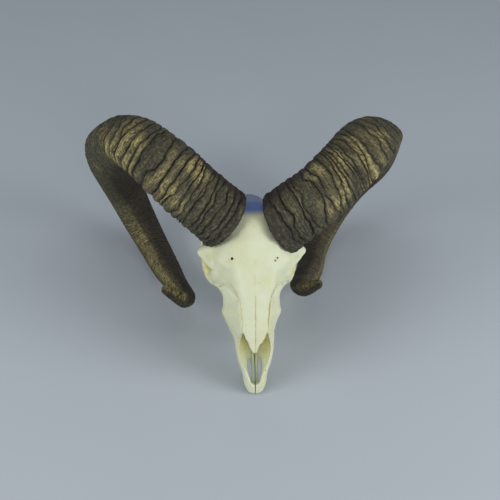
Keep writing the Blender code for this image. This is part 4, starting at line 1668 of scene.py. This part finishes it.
@dataclass
class ToothRow:
    """The six cheek teeth of one side, worn chewing faces outermost, rooted in the upper jaw.

    first and last are the row's heights, inset its distances out there, root and crown its depths.
    The shoulder is the share of a tooth below its chewing face, which has cusps and folds.
    """

    side: Side
    finish: bpy.types.Material
    first: float = -98.0
    last: float = -24.0
    inset: tuple[float, float] = (18.5, 21.0)
    lengths: tuple[float, ...] = (8.5, 10.0, 11.0, 13.5, 15.5, 15.5)
    half_width: float = 6.0
    root: float = 78.0
    crown: float = 97.0
    shoulder: float = 0.62
    cusp: float = 1.5
    fold: float = 0.13
    taper: float = 0.08
    spacing: float = 0.15
    cap_end: float = 0.985
    rows: int = 34
    columns: int = 64

    def build(self) -> list[bpy.types.Object]:
        """Build the six teeth.

        Returns:
            Their objects.
        """
        edges = np.concatenate(([0.0], np.cumsum(self.lengths))) / sum(self.lengths)
        heights = self.first + edges * (self.last - self.first)
        return [self.tooth(k, a, b) for k, (a, b) in enumerate(zip(heights[:-1], heights[1:]))]

    def tooth(self, number: int, low: float, high: float) -> bpy.types.Object:
        """One tooth: a rounded box section |x|^3 + |z|^3 = 1 with two folds, and a ridged chewing face.

        Args:
            number: place in the row, from the front.
            low: lower edge.
            high: upper edge.

        Returns:
            The object.
        """
        rows, columns = self.rows, self.columns
        middle, half = (low + high) / 2, (high - low) / 2 - self.spacing
        share = (middle - self.first) / (self.last - self.first)
        across = self.inset[0] + share * (self.inset[1] - self.inset[0])
        turn = np.linspace(0, 2 * math.pi, columns, endpoint=False)[None, :]
        up = np.linspace(0, 1, rows)[:, None]
        c, s = np.cos(turn), np.sin(turn)
        square = (np.abs(c) ** 3 + np.abs(s) ** 3) ** (-1 / 3)
        folds = 1 - self.fold * np.abs(c) ** 3 * np.cos(2 * math.pi * s) ** 2 * (number > 1)
        rise = np.clip(up / self.shoulder, 0, 1)
        cap = np.clip((up - self.shoulder) / (1 - self.shoulder), 0, self.cap_end)
        grown = (1 - cap) * (1 - self.taper * (1 - rise))
        wide = self.half_width * (0.82 + 0.18 * share)
        x = across + wide * c * square * folds * grown + 0 * up
        z = middle + half * s * square * grown
        cusps = 2 if number > 2 else 1
        peak = self.cusp * np.abs(np.sin(math.pi * (z - low) / (high - low) * cusps))
        y = self.root + (self.crown - self.cusp - self.root) * rise
        y = y + (cap > 0) * peak * (0.55 + 0.45 * np.abs(1 - 2 * cap))
        x = x * self.side.value + SkullShape().leaning(y + 0 * x, z)
        skin = np.stack((x, y + 0 * x, z + 0 * x), axis=2)
        quads = sheet_quads(rows, columns)
        first, last = np.arange(columns)[::-1], np.arange(columns) + (rows - 1) * columns
        if self.side is Side.RIGHT:
            quads, first, last = quads[:, ::-1], first[::-1], last[::-1]
        name = f"tooth_{self.side.word}_{number + 1}"
        piece = mesh_piece(name, LIE.place(skin.reshape(-1, 3)), quads, self.finish, (first, last))
        stain = np.clip(0.9 - 1.2 * rise, 0.12, 1) + 0.5 * cap + 0 * turn
        store(piece, "stain", np.clip(stain, 0, 1).ravel())
        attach(piece, BODY)
        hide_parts(f"maxilla_{self.side.word}")
        return piece


# ---------------------------------------------------------------- studio


@dataclass
class Studio:
    """Pale floor, soft lights and the camera that looks down on the face.

    Lens and sensor are in millimetres, angles in degrees, the camera's distance in millimetres, the
    floor's half width in metres. Each lamp has its name, direction, size in millimetres and watts.
    """

    floor_finish: bpy.types.Material
    distance: float = 1600.0
    lens: float = 101.05
    yaw: float = 6.3
    roll: float = 1.0
    shift: float = -0.0096
    sensor: float = 36.0
    floor_half: float = 6.0
    lamps: tuple[tuple[str, Point, float, float], ...] = (
        ("lamp_left", (-1.0, -0.68, 0.06), 800.0, 9.7),
        ("lamp_right", (1.0, -0.68, 0.02), 800.0, 11.8),
        ("lamp_low", (0.1, -0.85, -0.5), 900.0, 3.8),
        ("lamp_high", (0.0, -0.75, 1.0), 900.0, 2.4),
    )
    lamp_reach: float = 1500.0
    lamp_target: Point = (0.0, 80.0, -10.0)
    lamp_colour: Colour = (1.0, 0.985, 0.94)
    sky: Colour = (0.86, 0.90, 0.95)
    sky_strength: float = 0.3

    def build(self) -> None:
        """Make the floor, lights, surroundings and camera."""
        self.floor()
        for name, way, size, power in self.lamps:
            self.lamp(name, way, size, power)
        world = bpy.data.worlds.new("studio")
        world.use_nodes = True
        world.node_tree.nodes["Background"].inputs["Color"].default_value = (*self.sky, 1.0)
        world.node_tree.nodes["Background"].inputs["Strength"].default_value = self.sky_strength
        bpy.context.scene.world = world
        bpy.context.scene.view_settings.view_transform = "Standard"
        self.camera()

    def floor(self) -> None:
        """Flat floor at height nought."""
        half = self.floor_half
        points = np.array(((-half, -half, 0), (half, -half, 0), (half, half, 0), (-half, half, 0)), float)
        mesh_piece("floor", points, np.array([[0, 1, 2, 3]]), self.floor_finish)

    def lamp(self, name: str, way: Point, size: float, power: float) -> None:
        """Square soft light that faces the skull.

        Args:
            name: its name.
            way: direction to it in the face frame.
            size: side in millimetres.
            power: watts.
        """
        data = bpy.data.lights.new(name, "AREA")
        data.size, data.energy, data.color = size * MM, power, self.lamp_colour
        lamp = bpy.data.objects.new(name, data)
        aim = np.array(way) / np.linalg.norm(way)
        lamp.location = LIE.place(np.array(self.lamp_target) + aim * self.lamp_reach)
        lamp.rotation_euler = Vector(LIE.direction(aim)).to_track_quat("Z", "Y").to_euler()
        bpy.context.scene.collection.objects.link(lamp)

    def camera(self) -> None:
        """Camera at the photo's angle to the face: yawed and rolled a little, level with the forehead."""
        yaw, roll = math.radians(self.yaw), math.radians(self.roll)
        ahead = np.array((math.sin(yaw), math.cos(yaw), 0.0))
        right = np.array((math.cos(yaw), -math.sin(yaw), 0.0))
        up = np.cross(right, ahead)
        turned = math.cos(roll) * right - math.sin(roll) * up
        raised = math.sin(roll) * right + math.cos(roll) * up
        data = bpy.data.cameras.new("camera")
        data.lens, data.sensor_width, data.shift_x = self.lens, self.sensor, self.shift
        data.clip_start, data.clip_end = 0.05, 50.0
        camera = bpy.data.objects.new("camera", data)
        bpy.context.scene.collection.objects.link(camera)
        axes = np.stack([LIE.direction(v) for v in (turned, raised, -ahead)], axis=1)
        matrix = Matrix(axes.tolist()).to_4x4()
        matrix.translation = Vector(LIE.place(-ahead * self.distance))
        camera.matrix_world = matrix
        bpy.context.scene.camera = camera


# The two horns' own tables, in the order and units that HornShape tells.

LEFT_STATIONS = (
    (-6, 111.5, 32, 36), (8, 102, 61, 36.8), (30, 97, 95, 39.5), (55, 97, 127, 40), (80, 91, 150, 36.5),
    (110, 78, 160.5, 31.8), (145, 88, 153, 27.8), (175, 104, 131, 23.2), (205, 100, 105, 18.9),
    (240, 89, 88, 15.8), (265, 96.5, 76.5, 12.4), (281, 109.5, 71.5, 11.3), (298, 105.5, 98, 6.3),
)
RIGHT_STATIONS = (
    (-9, 112.5, 33, 36.3), (8, 100.5, 76, 36.6), (30, 93, 115.5, 37), (55, 94.5, 146, 38.2),
    (80, 87.5, 164, 36), (110, 76, 171, 32.5), (145, 87, 163, 27.6), (175, 104, 134, 22.8),
    (205, 100, 104, 19.2), (240, 87, 89, 16.4), (265, 91.5, 74, 13.8), (281, 98, 70.5, 12),
    (298, 102, 86, 6),
)

LEFT_WORN = (
    (0.115, -18, 0.03, 26, 1.0), (0.085, 45, 0.02, 20, 0.8), (0.125, 45, 0.02, 16, 0.6),
    (0.185, 75, 0.03, 18, 0.8), (0.225, 98, 0.03, 20, 1.0), (0.262, 105, 0.02, 22, 1.0),
    (0.25, 40, 0.05, 45, 0.5),
)
RIGHT_WORN = (
    (0.122, 30, 0.025, 22, 1.0), (0.07, 28, 0.02, 20, 0.2), (0.10, -12, 0.025, 30, 0.6),
    (0.12, -52, 0.03, 18, 0.9), (0.16, -20, 0.03, 30, 0.35), (0.21, 10, 0.04, 35, 0.45),
    (0.20, -78, 0.05, 16, 0.9), (0.225, -35, 0.04, 25, 0.6), (0.265, -55, 0.03, 25, 0.7),
)

LEFT_DENTS = (
    (0.305, 60, 0.05, 35, -9.0), (0.215, -60, 0.05, 35, -2.5), (0.93, -70, 0.03, 40, -2.0),
)
RIGHT_DENTS = (
    (0.305, -50, 0.05, 35, -6.0), (0.28, -100, 0.03, 25, 3.5), (0.10, 75, 0.05, 35, -2.5),
    (1.0, 28, 0.02, 60, -2.5),
)

LEFT_ROLLS = (
    (0, 7.0), (30, 6.5), (60, 8.0), (85, 13.0), (130, 12.0), (160, 8.0), (195, 5.5), (240, 3.4), (600, 2.8),
)
RIGHT_ROLLS = (
    (0, 9.0), (30, 13.0), (70, 12.0), (90, 5.5), (115, 5.5), (130, 11.0), (180, 10.0), (240, 3.4),
    (600, 2.8),
)


def main() -> None:
    """Build the horns, the bones, the teeth and the studio."""
    logging.basicConfig(level=logging.INFO, format="%(name)s: %(message)s")
    bone, enamel, sheath = BoneFinish().material(), ToothFinish().material(), HornFinish().material()
    pieces: list[bpy.types.Object] = []
    left = HornShape(Side.LEFT, LEFT_STATIONS, (0.80, 0.2, 60.0), 3, LEFT_WORN, LEFT_DENTS, LEFT_ROLLS)
    # The right horn: weaker painted highlights, stronger painted shade under its tip, and a darker base.
    right = HornShape(
        Side.RIGHT, RIGHT_STATIONS, (0.88, 0.2, 50.0), 8, RIGHT_WORN, RIGHT_DENTS, RIGHT_ROLLS,
        inner_from=(-0.25, -0.3, -0.4), tip_worn=0.7, edge_highlight=0.5, tip_dark=0.8, base_dark=0.3,
    )
    for shape in (left, right):
        pieces += Horn(shape, sheath).build()
    pieces += Skull(SkullShape(), bone).build()
    for side in Side:
        pieces += ToothRow(side, enamel).build()
    for piece in pieces:
        mesh = piece.data
        log.info("%s: %d vertices, %d faces", piece.name, len(mesh.vertices), len(mesh.polygons))
    Studio(FloorFinish().material()).build()
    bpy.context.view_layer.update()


if __name__ == "__main__":
    main()
